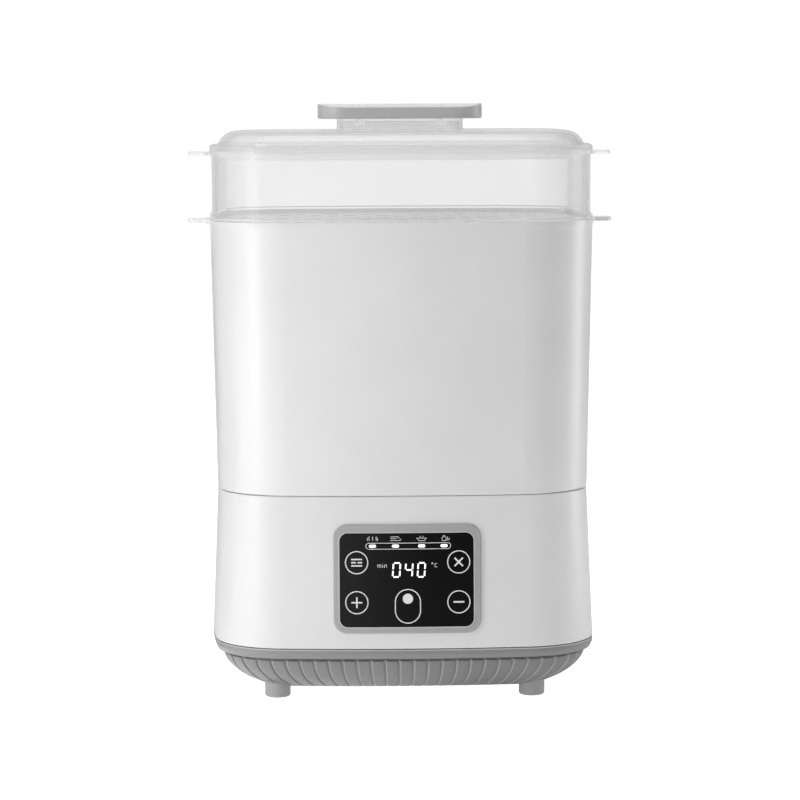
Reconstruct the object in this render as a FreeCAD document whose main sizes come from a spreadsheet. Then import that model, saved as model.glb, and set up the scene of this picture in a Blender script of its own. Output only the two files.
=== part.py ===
import FreeCAD, Part

import math
import os
import re

import Sketcher

# Electric steam steriliser and dryer: a base with a heating plate and a warm-air fan, a white chamber
# with a rack for bottles, a translucent tray and a translucent lid, stacked one on another.
# Millimetres. +Z is up, the control panel faces -Y, and the origin is on the table under the middle.

Vector = FreeCAD.Vector
UP = Vector(0, 0, 1)

SIZES = {
    # The plan is a square with slightly crowned sides and round corners.
    "crown_radius": 760, "corner_radius": 47, "corner_shrink": 0.8,
    # Base shell
    "foot_half": 123.7, "seam_half": 119.6, "shell_low": 36.5, "seam_height": 131.6,
    "shell_wall": 2.5, "deck_top": 124, "deck_thickness": 3, "shell_round": 0.8,
    # Grey bottom cover: a band, a step and a bowl
    "band_top": 36.2, "band_straight": 33, "band_low": 30, "band_inset": 1.4, "bowl_top": 28.8,
    "bowl_half": 118, "bowl_inset": 43.9, "bowl_low": 4.3, "bowl_power": 1.7, "groove_half": 117,
    "cover_wall": 2.5, "cover_lip": 4, "lip_gap": 0.5, "lip_wall": 2,
    # Feet
    "foot_x": 80.6, "foot_y": 85, "foot_radius": 8.15, "foot_flange": 10.4, "foot_top": 18,
    "foot_flange_thickness": 2, "foot_gap": 0.15, "foot_round": 1.6, "foot_boss": 11.5,
    # Cover screws
    "post_x": 98, "post_y": 42, "post_radius": 6, "post_top": 30, "column_radius": 5,
    "screw_radius": 1.5, "screw_gap": 0.1, "screw_clearance": 0.3, "head_radius": 3.8, "head_height": 3,
    "head_seat": 20, "recess_radius": 1.2, "recess_depth": 1.6, "screw_reach": 44,
    # Control panel
    "panel_low": 46.4, "panel_high": 114.3, "panel_left": 44.9, "panel_right": 46.7, "panel_corner": 8.5,
    "panel_proud": 1.5, "glass_low": 50.5, "glass_high": 109.1, "glass_left": 41.05, "glass_right": 42.25,
    "glass_corner": 5, "glass_proud": 1, "glass_thickness": 2, "window_rim": 3, "window_half": 42.5,
    "panel_fit": 0.1, "bezel_edge": 0.5,
    "board_back": 112, "board_thickness": 1.6, "board_half": 53, "board_low": 48.5, "board_high": 111,
    "standoff_x": 49, "standoff_low": 53, "standoff_high": 107, "standoff_radius": 3.5,
    "standoff_length": 6, "standoff_lean": 2, "key_x": 31.6, "key_low": 65.2, "key_high": 90.2,
    "power_key": 63.1, "digits_height": 86.1, "lamps_height": 100.9, "lamp_pitch": 15,
    # Rear air intake
    "filter_low": 46.4, "filter_high": 90, "filter_half": 34, "filter_corner": 6, "intake_low": 50,
    "intake_high": 86.4, "intake_half": 30, "intake_corner": 3, "filter_gap": 0.5, "filter_skirt": 12,
    "slot_width": 2.4, "slot_pitch": 5.6, "slot_count": 9,
    # Mains inlet, two poles
    "inlet_x": 62, "inlet_z": 58, "inlet_face": 119.4, "inlet_depth": 19, "inlet_half": 13,
    "inlet_half_height": 7.5, "socket_half": 8.4, "socket_half_height": 4.4, "socket_depth": 12,
    "pin_spacing": 8.6, "pin_radius": 1.2, "inlet_flange": 3, "inlet_flange_proud": 1.2,
    "fit_gap": 0.2,
    # Heating plate and what is under it
    "plate_y": -14, "plate_flange": 76, "plate_seat": 76.6, "seat_depth": 2, "plate_hole": 70,
    "dish_top": 69.4, "dish_low": 66, "dish_floor": 112, "plate_thickness": 1.5, "seal_thickness": 0.8,
    "seal_inner": 70.6, "element_ring": 52, "element_radius": 3.5, "clamp_radius": 62,
    "clamp_screw_ring": 40, "clamp_thickness": 1.8, "sensor_radius": 6, "cutout_radius": 8, "cutout_x": 26,
    # Fan, heater and air duct at the back
    "fan_y_front": 78, "fan_y_back": 104, "fan_axis": 66, "fan_radius": 34, "fan_wall": 1.8,
    "fan_inlet": 20, "wheel_radius": 28, "wheel_inner": 21, "wheel_width": 17, "blade_count": 24,
    "blade_thickness": 1, "hub_radius": 6, "shaft_radius": 1.5, "shaft_gap": 0.05, "motor_radius": 15,
    "motor_length": 25, "duct_half": 14, "duct_y_front": 80, "duct_y_back": 102, "duct_low": 96,
    "heater_low": 104.2, "heater_high": 114, "fin_count": 7, "fin_pitch": 3.6, "fin_gap": 2.2,
    "chimney_y": 88, "chimney_radius": 12.5, "chimney_bore": 11, "chimney_hole": 13,
    "chimney_top": 127, "cap_radius": 17, "cap_top": 135, "cap_wall": 2, "cap_slots": 10,
    # Power board
    "power_x": -60, "power_y": -10, "power_half_x": 30, "power_half_y": 45, "power_low": 24,
    "power_post": 3.5, "power_post_inset": 5, "wire_radius": 1.3,
    # Chamber
    "chamber_low": 131.9, "chamber_high": 297.6, "chamber_low_half": 119.9, "chamber_top_half": 123.2,
    "chamber_wall": 2.2, "rim_top": 300.9, "rim_half": 123.5, "ear_half": 137.8, "ear_low": 297,
    "ear_thickness": 2.3, "ear_tip": 9, "ear_waist": 127, "ear_waist_depth": 11, "ear_root": 26,
    "ear_round": 4, "skirt_half": 116.1, "skirt_wall": 2, "floor_low": 138, "floor_thickness": 2.5,
    "vent_radius": 4, "vent_pitch": 22, "vent_count": 9,
    # Bottle rack
    "rack_low": 141, "rack_thickness": 2.5, "rack_half": 112, "rack_corner": 40, "rack_hole": 19,
    "rack_ring": 64, "rack_post_radius": 4, "rack_post_top": 205, "rack_stem_radius": 6,
    "rack_stem_top": 228, "rack_knob": 11, "rack_knob_height": 7, "rack_edge": 8, "rack_edge_ring": 125,
    # Tray
    "tray_flange_low": 301.2, "tray_flange_high": 303.2, "tray_flange_half": 123.3,
    "tray_low_half": 121.7, "tray_top_half": 121.9, "tray_top": 344.4, "tray_wall": 1.8,
    "tray_skirt_half": 119.4, "tray_skirt_low": 294, "tray_floor": 298.2, "tray_floor_thickness": 2.2,
    "tray_ear": 137, "tray_ear_low": 340.5, "tray_rim_low": 341.6, "tray_rim_half": 123,
    # Lid
    "lid_flange_low": 344.6, "lid_flange_high": 347.4, "lid_flange_half": 123.2, "lid_half": 118,
    "lid_top": 356.1, "lid_round": 11.3, "lid_wall": 1.8, "lid_skirt_half": 119.2, "lid_skirt_low": 339,
    "neck_half": 40.7, "neck_depth": 20, "neck_corner": 9, "neck_top": 363.8, "neck_wall": 2,
    "vent_hole": 2, "lid_vent_y": 46, "lid_vent_pitch": 14, "lid_edge_round": 1.2,
    # Lid handle
    "grip_half": 53.2, "grip_depth": 28, "grip_corner": 18, "grip_top": 373.4, "grip_crown": 147,
    "crown_span": 40, "crown_room": 9, "grip_round": 1.4, "inlay_inset": 2.4, "inlay_floor": 369.2,
    "inlay_gap": 0.1, "handle_screw_x": 26, "handle_screw_radius": 1.8, "handle_screw_head": 4,
}

doc = FreeCAD.newDocument("steriliser")
sizes = doc.addObject("Spreadsheet::Sheet", "Sizes")
for row, (alias, number) in enumerate(SIZES.items(), 1):
    sizes.set(f"A{row}", alias)
    sizes.set(f"B{row}", str(number))
    sizes.setAlias(f"B{row}", alias)
doc.recompute()

NAMES = re.compile(r"\b[a-z_]+\b")
NODES = []


def formula(text):
    """A size formula with each alias written the way an expression names it."""
    return NAMES.sub(lambda m: "Sizes." + m.group() if m.group() in SIZES else m.group(), str(text))


def value(text):
    """The number that a size formula stands for, in millimetres or degrees."""
    result = sizes.evalExpression(formula(text))
    return float(getattr(result, "Value", result))


def bind(thing, prop, text):
    thing.setExpression(prop, formula(text))


def new_body(label, node=True):
    body = doc.addObject("PartDesign::Body", label)
    body.Label = label
    if node:
        NODES.append(body)
    return body


class Profile:
    """A sketch on one of a body's origin planes, moved along the plane's normal by a size formula.

    On XY_Plane the sketch looks down from +Z. On XZ_Plane its x is X, its y is Z and its normal is -Y.
    On YZ_Plane its x is Y, its y is Z and its normal is +X.
    """

    def __init__(self, body, name, plane="XY_Plane", at="0"):
        self.sketch = body.newObject("Sketcher::SketchObject", f"{body.Label}_{name}")
        origin_plane = next(f for f in body.Origin.OriginFeatures if f.Role == plane)
        self.sketch.AttachmentSupport = [(origin_plane, "")]
        self.sketch.MapMode = "FlatFace"
        bind(self.sketch, "AttachmentOffset.Base.z", at)

    def rule(self, kind, *places, size=None):
        if size is None:
            return self.sketch.addConstraint(Sketcher.Constraint(kind, *places))
        index = self.sketch.addConstraint(Sketcher.Constraint(kind, *places, value(size)))
        bind(self.sketch, f"Constraints[{index}]", size)
        return index

    def place(self, geometry, point, x, y):
        """Fix a point of a piece of geometry at x, y from the sketch's origin."""
        for kind, size in (("DistanceX", x), ("DistanceY", y)):
            if value(size) < 0:
                self.rule(kind, geometry, point, -1, 1, size=f"-({size})")
            elif value(size) > 0:
                self.rule(kind, -1, 1, geometry, point, size=size)
            else:
                self.rule("PointOnObject", geometry, point, -2 if kind == "DistanceX" else -1)

    def circle(self, radius, x="0", y="0"):
        centre = Vector(value(x), value(y), 0)
        ring = self.sketch.addGeometry(Part.Circle(centre, UP, value(radius)))
        self.rule("Radius", ring, size=radius)
        self.place(ring, 3, x, y)
        return self

    def polygon(self, points):
        corners = [Vector(value(x), value(y), 0) for x, y in points]
        sides = [self.sketch.addGeometry(Part.LineSegment(a, b))
                 for a, b in zip(corners, corners[1:] + corners[:1])]
        for side, following in zip(sides, sides[1:] + sides[:1]):
            self.rule("Coincident", side, 2, following, 1)
        for side, (x, y) in zip(sides, points):
            self.place(side, 1, x, y)
        return self

    def rectangle(self, x_low, x_high, y_low, y_high):
        return self.polygon([(x_low, y_low), (x_high, y_low), (x_high, y_high), (x_low, y_high)])

    def rounded(self, x_low, x_high, y_low, y_high, radius):
        """A rectangle with round corners."""
        left, right, low, high, r = (value(t) for t in (x_low, x_high, y_low, y_high, radius))
        quarter = math.pi / 2
        chain = []
        runs = (((left + r, low), (right - r, low)), ((right, low + r), (right, high - r)),
                ((right - r, high), (left + r, high)), ((left, high - r), (left, low + r)))
        centres = ((right - r, low + r), (right - r, high - r), (left + r, high - r), (left + r, low + r))
        for number, (run, centre) in enumerate(zip(runs, centres)):
            line = Part.LineSegment(*(Vector(*end, 0) for end in run))
            circle = Part.Circle(Vector(*centre, 0), UP, r)
            start = (number - 1) * quarter
            chain.append(self.sketch.addGeometry(line))
            chain.append(self.sketch.addGeometry(Part.ArcOfCircle(circle, start, start + quarter)))
        for piece, following in zip(chain, chain[1:] + chain[:1]):
            self.rule("Tangent", piece, 2, following, 1)
        for line, kind in zip(chain[::2], ("Horizontal", "Vertical", "Horizontal")):
            self.rule(kind, line)
        for arc in chain[3::2]:
            self.rule("Equal", chain[1], arc)
        self.rule("Radius", chain[1], size=radius)
        self.place(chain[1], 3, f"{x_high} - ({radius})", f"{y_low} + {radius}")
        self.place(chain[5], 3, f"{x_low} + {radius}", f"{y_high} - ({radius})")
        return self

    def crowned(self, half, corner="corner_radius"):
        """The plan of the steriliser: four sides of one large radius, joined by tangent corner arcs."""
        crown, side, round_corner = value("crown_radius"), value(half), value(corner)
        back = crown - side
        reach = crown - round_corner
        offset = (math.sqrt(2 * reach ** 2 - back ** 2) - back) / 2
        spread = math.atan2(offset, back + offset)
        chain = []
        for quarter in range(4):
            turn = quarter * math.pi / 2
            centre = Vector(-back * math.cos(turn), -back * math.sin(turn), 0)
            circle = Part.Circle(centre, UP, crown)
            chain.append(self.sketch.addGeometry(Part.ArcOfCircle(circle, turn - spread, turn + spread)))
            centre = Vector(offset * (math.cos(turn) - math.sin(turn)),
                            offset * (math.sin(turn) + math.cos(turn)), 0)
            circle = Part.Circle(centre, UP, round_corner)
            arc = Part.ArcOfCircle(circle, turn + spread, turn + math.pi / 2 - spread)
            chain.append(self.sketch.addGeometry(arc))
        for piece, following in zip(chain, chain[1:] + chain[:1]):
            self.rule("Tangent", piece, 2, following, 1)
        for first in (0, 1):
            for other in range(first + 2, 8, 2):
                self.rule("Equal", chain[first], chain[other])
        self.rule("Radius", chain[0], size="crown_radius")
        self.rule("Radius", chain[1], size=corner)
        distance = f"crown_radius - ({half})"
        self.place(chain[0], 3, f"-({distance})", "0")
        self.place(chain[4], 3, distance, "0")
        self.place(chain[2], 3, "0", f"-({distance})")
        self.place(chain[6], 3, "0", distance)
        return self


def finish_feature(body, feature):
    body.Tip = feature
    doc.recompute()
    return feature


def pad(body, profile, length, taper=None, reverse=False):
    """Raise a profile along its normal, or against it. A positive taper widens it on the way."""
    feature = body.newObject("PartDesign::Pad", f"{profile.sketch.Name}_pad")
    feature.Profile = profile.sketch
    bind(feature, "Length", length)
    if taper:
        bind(feature, "TaperAngle", taper)
    feature.Reversed = reverse
    profile.sketch.Visibility = False
    return finish_feature(body, feature)


def pocket(body, profile, length, taper=None, reverse=False):
    """Cut a profile against its normal, or along it, and make sure that it cut something."""
    before = body.Shape.Volume
    feature = body.newObject("PartDesign::Pocket", f"{profile.sketch.Name}_pocket")
    feature.Profile = profile.sketch
    bind(feature, "Length", length)
    if taper:
        bind(feature, "TaperAngle", taper)
    feature.Reversed = reverse
    finish_feature(body, feature)
    if body.Shape.Volume > before - 0.01:
        raise RuntimeError(f"{feature.Name} cuts nothing")
    return feature


def revolve(body, points, plane="XZ_Plane", name="section"):
    """Turn a half section, given as points of radius and height, about the sketch's vertical axis."""
    profile = Profile(body, name, plane).polygon(points)
    feature = body.newObject("PartDesign::Revolution", f"{profile.sketch.Name}_turn")
    feature.Profile = profile.sketch
    feature.ReferenceAxis = (profile.sketch, ["V_Axis"])
    feature.Angle = 360
    return finish_feature(body, feature)


def dress(body, kind, size, chosen):
    """Fillet or chamfer the edges of the body's tip that a test picks."""
    base = body.Tip
    edges = [f"Edge{n}" for n, edge in enumerate(base.Shape.Edges, 1) if chosen(edge)]
    if not edges:
        raise RuntimeError(f"{body.Label}: no edge to {kind}")
    feature = body.newObject(f"PartDesign::{kind}", f"{body.Label}_{kind}")
    feature.Base = (base, edges)
    bind(feature, "Radius" if kind == "Fillet" else "Size", size)
    return finish_feature(body, feature)


def repeat_round(body, feature, profile, axis, count):
    """Repeat a feature in a full circle about one of its sketch's own axes."""
    ring = body.newObject("PartDesign::PolarPattern", f"{feature.Name}_ring")
    ring.Originals = [feature]
    ring.Axis = (profile.sketch, [axis])
    ring.Angle = 360
    bind(ring, "Occurrences", count)
    return finish_feature(body, ring)


def level(*heights):
    """A test for edges that lie flat at one of these heights."""
    marks = [value(height) for height in heights]

    def test(edge):
        box = edge.BoundBox
        return any(abs(box.ZMin - mark) < 0.01 and abs(box.ZMax - mark) < 0.01 for mark in marks)
    return test


def lean(low_half, high_half, low, high):
    """The taper that takes a wall from one half width to another as it rises."""
    return f"atan((({high_half}) - ({low_half})) / (({high}) - ({low})))"


def on_corners(profile, radius, x, y):
    for side in ("", "-"):
        for end in ("", "-"):
            profile.circle(radius, f"{side}{x}", f"{end}{y}")
    return profile


def corner_at(half):
    """The corner radius of an outline that stands inside the widest one."""
    return f"corner_radius - corner_shrink * (foot_half - ({half}))"


# Base shell

SHELL_LEAN = lean("foot_half", "seam_half", "shell_low", "seam_height")


def shell_half(height):
    """Half width of the base shell's outer face at a height."""
    return f"(foot_half + (seam_half - foot_half) * (({height}) - shell_low) / (seam_height - shell_low))"


def make_base_shell():
    body = new_body("base_shell")
    wide = Profile(body, "outline", at="shell_low").crowned("foot_half")
    pad(body, wide, "seam_height - shell_low", SHELL_LEAN)
    dress(body, "Fillet", "shell_round", level("shell_low", "seam_height"))
    inner_corner = "corner_radius - shell_wall"
    inside = Profile(body, "inside", at="shell_low").crowned("foot_half - shell_wall", inner_corner)
    pocket(body, inside, "deck_top - deck_thickness - shell_low", SHELL_LEAN, reverse=True)
    well = Profile(body, "well", at="seam_height").crowned("seam_half - shell_wall", inner_corner)
    pocket(body, well, "seam_height - deck_top")
    seat = Profile(body, "seat", at="deck_top").circle("plate_seat", y="plate_y")
    pocket(body, seat, "seat_depth")
    holes = Profile(body, "deck_holes", at="deck_top").circle("plate_hole", y="plate_y")
    holes.circle("chimney_hole", y="chimney_y")
    pocket(body, holes, "deck_thickness + 1")
    columns = on_corners(Profile(body, "columns", at="post_top + 0.2"), "column_radius", "post_x", "post_y")
    pad(body, columns, "deck_top - deck_thickness + 1 - post_top")
    pilots = Profile(body, "pilots", at="post_top")
    on_corners(pilots, "screw_radius + screw_gap", "post_x", "post_y")
    pocket(body, pilots, "screw_reach - post_top + 1", reverse=True)
    cut_window(body, "front", "window_half", "panel_low + window_rim",
               "panel_high - window_rim", "panel_corner - window_rim")
    cut_window(body, "rear", "intake_half", "intake_low", "intake_high", "intake_corner", back=True)
    hole = Profile(body, "inlet_hole", "XZ_Plane", "-(foot_half + 5)")
    hole.rectangle("inlet_x - inlet_half", "inlet_x + inlet_half",
                   "inlet_z - inlet_half_height", "inlet_z + inlet_half_height")
    pocket(body, hole, "20", reverse=True)
    for name, height, length in (("low", "standoff_low", "standoff_length + standoff_lean"),
                                 ("high", "standoff_high", "standoff_length")):
        standoffs = Profile(body, f"standoffs_{name}", "XZ_Plane", "board_back")
        for side in ("", "-"):
            standoffs.circle("standoff_radius", f"{side}standoff_x", height)
        pad(body, standoffs, length)
    threads = Profile(body, "threads", "XZ_Plane", "board_back")
    for side in ("", "-"):
        for height in ("standoff_low", "standoff_high"):
            threads.circle("screw_radius + screw_gap", f"{side}standoff_x", height)
    pocket(body, threads, "standoff_length - 1", reverse=True)


def cut_window(body, name, half, low, high, corner, back=False):
    """Cut a round-cornered hole through the front or the rear wall."""
    at = "-(foot_half + 5)" if back else "foot_half + 5"
    window = Profile(body, f"{name}_window", "XZ_Plane", at).rounded(f"-({half})", half, low, high, corner)
    pocket(body, window, "20", reverse=back)


def make_tile(label, left, right, low, high, corner, outer, inner, back=False):
    """A piece that follows the base shell's crowned and leaning wall, with a round-cornered outline.

    outer and inner are how far its two faces stand out from the shell's own outer face.
    """
    body = new_body(label)
    base = shell_half(low)
    outside = Profile(body, "outside", at=low).crowned(f"{base} + {outer}")
    pad(body, outside, f"{high} - ({low})", SHELL_LEAN)
    inside = Profile(body, "inside", at=low).crowned(f"{base} + {inner}")
    pocket(body, inside, f"{high} - ({low})", SHELL_LEAN, reverse=True)
    around = Profile(body, "around", "XZ_Plane", "-foot_half - 9" if back else "foot_half + 9")
    around.rectangle("-foot_half - 9", "foot_half + 9", f"{low} - 9", f"{high} + 9")
    around.rounded(left, right, low, high, corner)
    pocket(body, around, "40", reverse=back)
    keep = "foot_half - 28"
    rest = Profile(body, "rest", at=f"{low} - 1")
    if back:
        rest.rectangle("-foot_half - 9", "foot_half + 9", "-foot_half - 9", keep)
    else:
        rest.rectangle("-foot_half - 9", "foot_half + 9", f"-({keep})", "foot_half + 9")
    pocket(body, rest, f"{high} - ({low}) + 2", reverse=True)
    return body


def make_panel():
    bezel = make_tile("panel_bezel", "-panel_left", "panel_right", "panel_low", "panel_high",
                      "panel_corner", "panel_proud", "0")
    opening = Profile(bezel, "opening", "XZ_Plane", "foot_half + 9")
    opening.rounded("-(glass_left + panel_fit)", "glass_right + panel_fit", "glass_low - panel_fit",
                    "glass_high + panel_fit", "glass_corner + panel_fit")
    pocket(bezel, opening, "40")
    rise = value("seam_height - shell_low")
    slope = value("foot_half - seam_half") / rise

    def on_front(edge):
        """Whether an edge lies on the bezel's front face."""
        ends = [vertex.Point for vertex in edge.Vertexes]
        faces = [value("foot_half + panel_proud") - slope * (p.z - value("shell_low"))
                 - p.x ** 2 / (2 * value("crown_radius")) for p in ends]
        return all(abs(-p.y - face) < 0.1 for p, face in zip(ends, faces))

    dress(bezel, "Chamfer", "bezel_edge", on_front)
    make_tile("panel_glass", "-glass_left", "glass_right", "glass_low", "glass_high", "glass_corner",
              "glass_proud", "glass_proud - glass_thickness")


def make_display():
    """Everything behind the glass: a board, its digits, its lamps and the springs of the touch keys."""
    board = new_body("display_board")
    outline = Profile(board, "outline", "XZ_Plane", "board_back - board_thickness")
    outline.rounded("-board_half", "board_half", "board_low", "board_high", "3")
    for side in ("", "-"):
        for height in ("standoff_low", "standoff_high"):
            outline.circle("screw_radius + 0.3", f"{side}standoff_x", height)
    pad(board, outline, "board_thickness")

    digits = new_body("digit_display")
    block = Profile(digits, "block", "XZ_Plane", "board_back")
    block.rectangle("-19", "19", "digits_height - 7", "digits_height + 7")
    pad(digits, block, "5.5")
    segments = Profile(digits, "segment_slots", "XZ_Plane", "board_back + 5.5")
    for place in (-12, 0, 12):
        for rise in (-5, 0, 5):
            segments.rectangle(f"{place} - 2.4", f"{place} + 2.4", f"digits_height + {rise} - 0.5",
                               f"digits_height + {rise} + 0.5")
    pocket(digits, segments, "1")

    lamps = new_body("indicator_lamps")
    profile = Profile(lamps, "dies", "XZ_Plane", "board_back")
    for place in (-1.5, -0.5, 0.5, 1.5):
        profile.rectangle(f"{place} * lamp_pitch - 1.6", f"{place} * lamp_pitch + 1.6",
                          "lamps_height - 1", "lamps_height + 1")
    pad(lamps, profile, "1.8")

    springs = new_body("touch_key_springs")
    profile = Profile(springs, "coils", "XZ_Plane", "board_back")
    for radius in ("3.4", "2.6"):
        for side in ("", "-"):
            for height in ("key_low", "key_high"):
                profile.circle(radius, f"{side}key_x", height)
        profile.circle(radius, "0", "power_key")
    pad(springs, profile, "4.6")

    screws = new_body("board_screws")
    shanks = Profile(screws, "shanks", "XZ_Plane", "board_back - board_thickness")
    heads = Profile(screws, "heads", "XZ_Plane", "board_back - board_thickness")
    for side in ("", "-"):
        for height in ("standoff_low", "standoff_high"):
            shanks.circle("screw_radius", f"{side}standoff_x", height)
            heads.circle("screw_radius + 1.4", f"{side}standoff_x", height)
    pad(screws, shanks, "board_thickness + standoff_length - 2")
    pad(screws, heads, "1.6", reverse=True)


# Bottom cover, feet and their screws

def bowl_sections(inset, lift):
    """Height and half width up the cover: the bowl by a superellipse, then the step and the band."""
    sections = []
    for degrees in (90, 80, 70, 60, 50, 41, 32, 24, 16, 8, 0):
        sine = f"pow(sin({degrees}); 2 / bowl_power)"
        cosine = f"pow(cos({degrees}); 2 / bowl_power)"
        sections.append((f"bowl_top - (bowl_top - bowl_low) * {sine} + {lift}",
                         f"bowl_half - bowl_inset * (1 - {cosine}) - {inset}"))
    sections.append((f"band_low + {lift}", f"foot_half - band_inset - {inset}"))
    sections.append((f"band_straight + {lift}", f"foot_half - {inset}"))
    return sections


def loft(body, sections):
    """Join crowned outlines into one solid, straight from each to the next."""
    profiles = [Profile(body, f"ring_{n}", at=height).crowned(half, corner_at(half)).sketch
                for n, (height, half) in enumerate(sections)]
    feature = body.newObject("PartDesign::AdditiveLoft", f"{body.Label}_loft")
    feature.Profile = profiles[0]
    feature.Sections = profiles[1:]
    feature.Ruled = True
    return finish_feature(body, feature)


def make_bottom_cover():
    cavity = new_body("cover_cavity", node=False)
    loft(cavity, bowl_sections("cover_wall", "cover_wall") + [("band_top + 4", "foot_half - cover_wall")])
    sockets = on_corners(Profile(cavity, "sockets", at="foot_top"), "foot_boss", "foot_x", "foot_y")
    pocket(cavity, sockets, "foot_top")
    posts = on_corners(Profile(cavity, "posts", at="post_top"), "post_radius", "post_x", "post_y")
    pocket(cavity, posts, "post_top")
    board_posts = Profile(cavity, "board_posts", at="power_low")
    for x, y in power_post_places():
        board_posts.circle("power_post", x, y)
    pocket(cavity, board_posts, "power_low")

    body = new_body("base_bottom_cover")
    loft(body, bowl_sections("0", "0") + [("band_top", "foot_half")])
    cut = body.newObject("PartDesign::Boolean", "cover_hollow")
    cut.Type = "Cut"
    cut.Group = [cavity]
    finish_feature(body, cut)
    groove = Profile(body, "groove", at="band_low").crowned("foot_half + 5")
    groove.crowned("groove_half", corner_at("groove_half"))
    pocket(body, groove, "band_low - bowl_top")
    lip_half = "foot_half - shell_wall - lip_gap"
    lip = Profile(body, "lip", at="band_top - 3").crowned(lip_half, corner_at(lip_half))
    inner_lip = f"{lip_half} - lip_wall"
    lip.crowned(inner_lip, corner_at(inner_lip))
    pad(body, lip, "cover_lip + 3")
    sockets = Profile(body, "foot_holes", at="foot_top")
    on_corners(sockets, "foot_radius + foot_gap", "foot_x", "foot_y")
    pocket(body, sockets, "foot_top")
    holes = Profile(body, "screw_holes", at="post_top")
    on_corners(holes, "screw_radius + screw_clearance", "post_x", "post_y")
    pocket(body, holes, "post_top")
    wells = Profile(body, "head_wells", at="head_seat")
    on_corners(wells, "head_radius + screw_clearance", "post_x", "post_y")
    pocket(body, wells, "head_seat")
    vents = Profile(body, "vents", at="bowl_low + cover_wall + 1")
    for step in range(-4, 5):
        vents.rounded(f"{step * 8} - 1.4", f"{step * 8} + 1.4", "22", "58", "1.3")
    pocket(body, vents, "bowl_low + cover_wall + 1")


def power_post_places():
    return [(f"power_x {right} (power_half_x - power_post_inset)",
             f"power_y {back} (power_half_y - power_post_inset)") for right in "+-" for back in "+-"]


def make_feet():
    body = new_body("feet")
    pegs = on_corners(Profile(body, "pegs"), "foot_radius", "foot_x", "foot_y")
    pad(body, pegs, "foot_top + 0.5")
    dress(body, "Fillet", "foot_round", level("0"))
    flanges = on_corners(Profile(body, "flanges", at="foot_top"), "foot_flange", "foot_x", "foot_y")
    pad(body, flanges, "foot_flange_thickness")

    screws = new_body("cover_screws")
    shanks = on_corners(Profile(screws, "shanks", at="head_seat"), "screw_radius", "post_x", "post_y")
    pad(screws, shanks, "screw_reach - head_seat")
    heads = Profile(screws, "heads", at="head_seat - head_height")
    pad(screws, on_corners(heads, "head_radius", "post_x", "post_y"), "head_height")
    recess = Profile(screws, "recess", at="head_seat - head_height")
    pocket(screws, on_corners(recess, "recess_radius", "post_x", "post_y"), "recess_depth", reverse=True)


# Heating plate and its parts

def make_heater():
    """The dish that boils the water, with the tube heater clamped under it."""
    plate = new_body("heating_plate")
    seat = "(deck_top - seat_depth + seal_thickness)"
    revolve(plate, [
        ("0", "dish_floor - plate_thickness"), ("dish_low - 1", "dish_floor - plate_thickness"),
        ("dish_low", "dish_floor - plate_thickness + 1"), ("dish_top", seat),
        ("plate_flange", seat), ("plate_flange", f"{seat} + plate_thickness - 0.5"),
        ("dish_top - 1", f"{seat} + plate_thickness"), ("dish_low - 2", "dish_floor + 1"),
        ("dish_low - 3.5", "dish_floor"), ("0", "dish_floor")])
    seal = new_body("plate_seal")
    revolve(seal, [
        ("seal_inner", "deck_top - seat_depth"), ("plate_flange", "deck_top - seat_depth"),
        ("plate_flange", seat), ("seal_inner", seat)])
    element = new_body("heating_element")
    height = "(dish_floor - plate_thickness - element_radius)"
    tube = Profile(element, "tube", "XZ_Plane").circle("element_radius", "element_ring", height)
    turn = element.newObject("PartDesign::Revolution", "element_turn")
    turn.Profile = tube.sketch
    turn.ReferenceAxis = (tube.sketch, ["V_Axis"])
    turn.Angle = 326
    finish_feature(element, turn)
    low = "dish_floor - plate_thickness - 2 * element_radius"
    clamp = new_body("heater_clamp")
    disc = Profile(clamp, "disc", at=f"{low} - clamp_thickness").circle("clamp_radius")
    disc.circle("sensor_radius + 0.5").circle("cutout_radius + 0.5", "cutout_x")
    pad(clamp, disc, "clamp_thickness")
    sensor = new_body("temperature_sensor")
    pad(sensor, Profile(sensor, "cup", at=f"{low} - 5").circle("sensor_radius"), "element_radius * 2 + 5")
    pad(sensor, Profile(sensor, "stem", at=f"{low} - 11").circle("2.2", "0"), "6")
    cutout = new_body("thermal_cutout")
    can = Profile(cutout, "can", at=f"{low} - 4").circle("cutout_radius", "cutout_x")
    pad(cutout, can, "element_radius * 2 + 4")
    tabs = Profile(cutout, "tabs", at=f"{low} - 11")
    for side in ("-", "+"):
        tabs.rectangle(f"cutout_x {side} 4 - 0.6", f"cutout_x {side} 4 + 0.6", "-2.5", "2.5")
    pad(cutout, tabs, "7")
    studs = new_body("heater_clamp_screws")
    shank = Profile(studs, "shanks", at=f"{low} - clamp_thickness - 0.02")
    head = Profile(studs, "heads", at=f"{low} - clamp_thickness")
    clearance = Profile(clamp, "screw_holes", at=low)
    for degrees in (30, 150, 270):
        spot = (f"clamp_screw_ring * cos({degrees})", f"clamp_screw_ring * sin({degrees})")
        head.circle("4", *spot)
        shank.circle("1.6", *spot)
        clearance.circle("1.8", *spot)
    pad(studs, head, "2.4", reverse=True)
    pocket(clamp, clearance, "clamp_thickness + 1")
    pad(studs, shank, "element_radius * 2 + clamp_thickness")
    for thing in (plate, seal, element, clamp, sensor, cutout, studs):
        bind(thing, "Placement.Base.y", "plate_y")


# Fan, warm-air heater and duct

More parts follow.
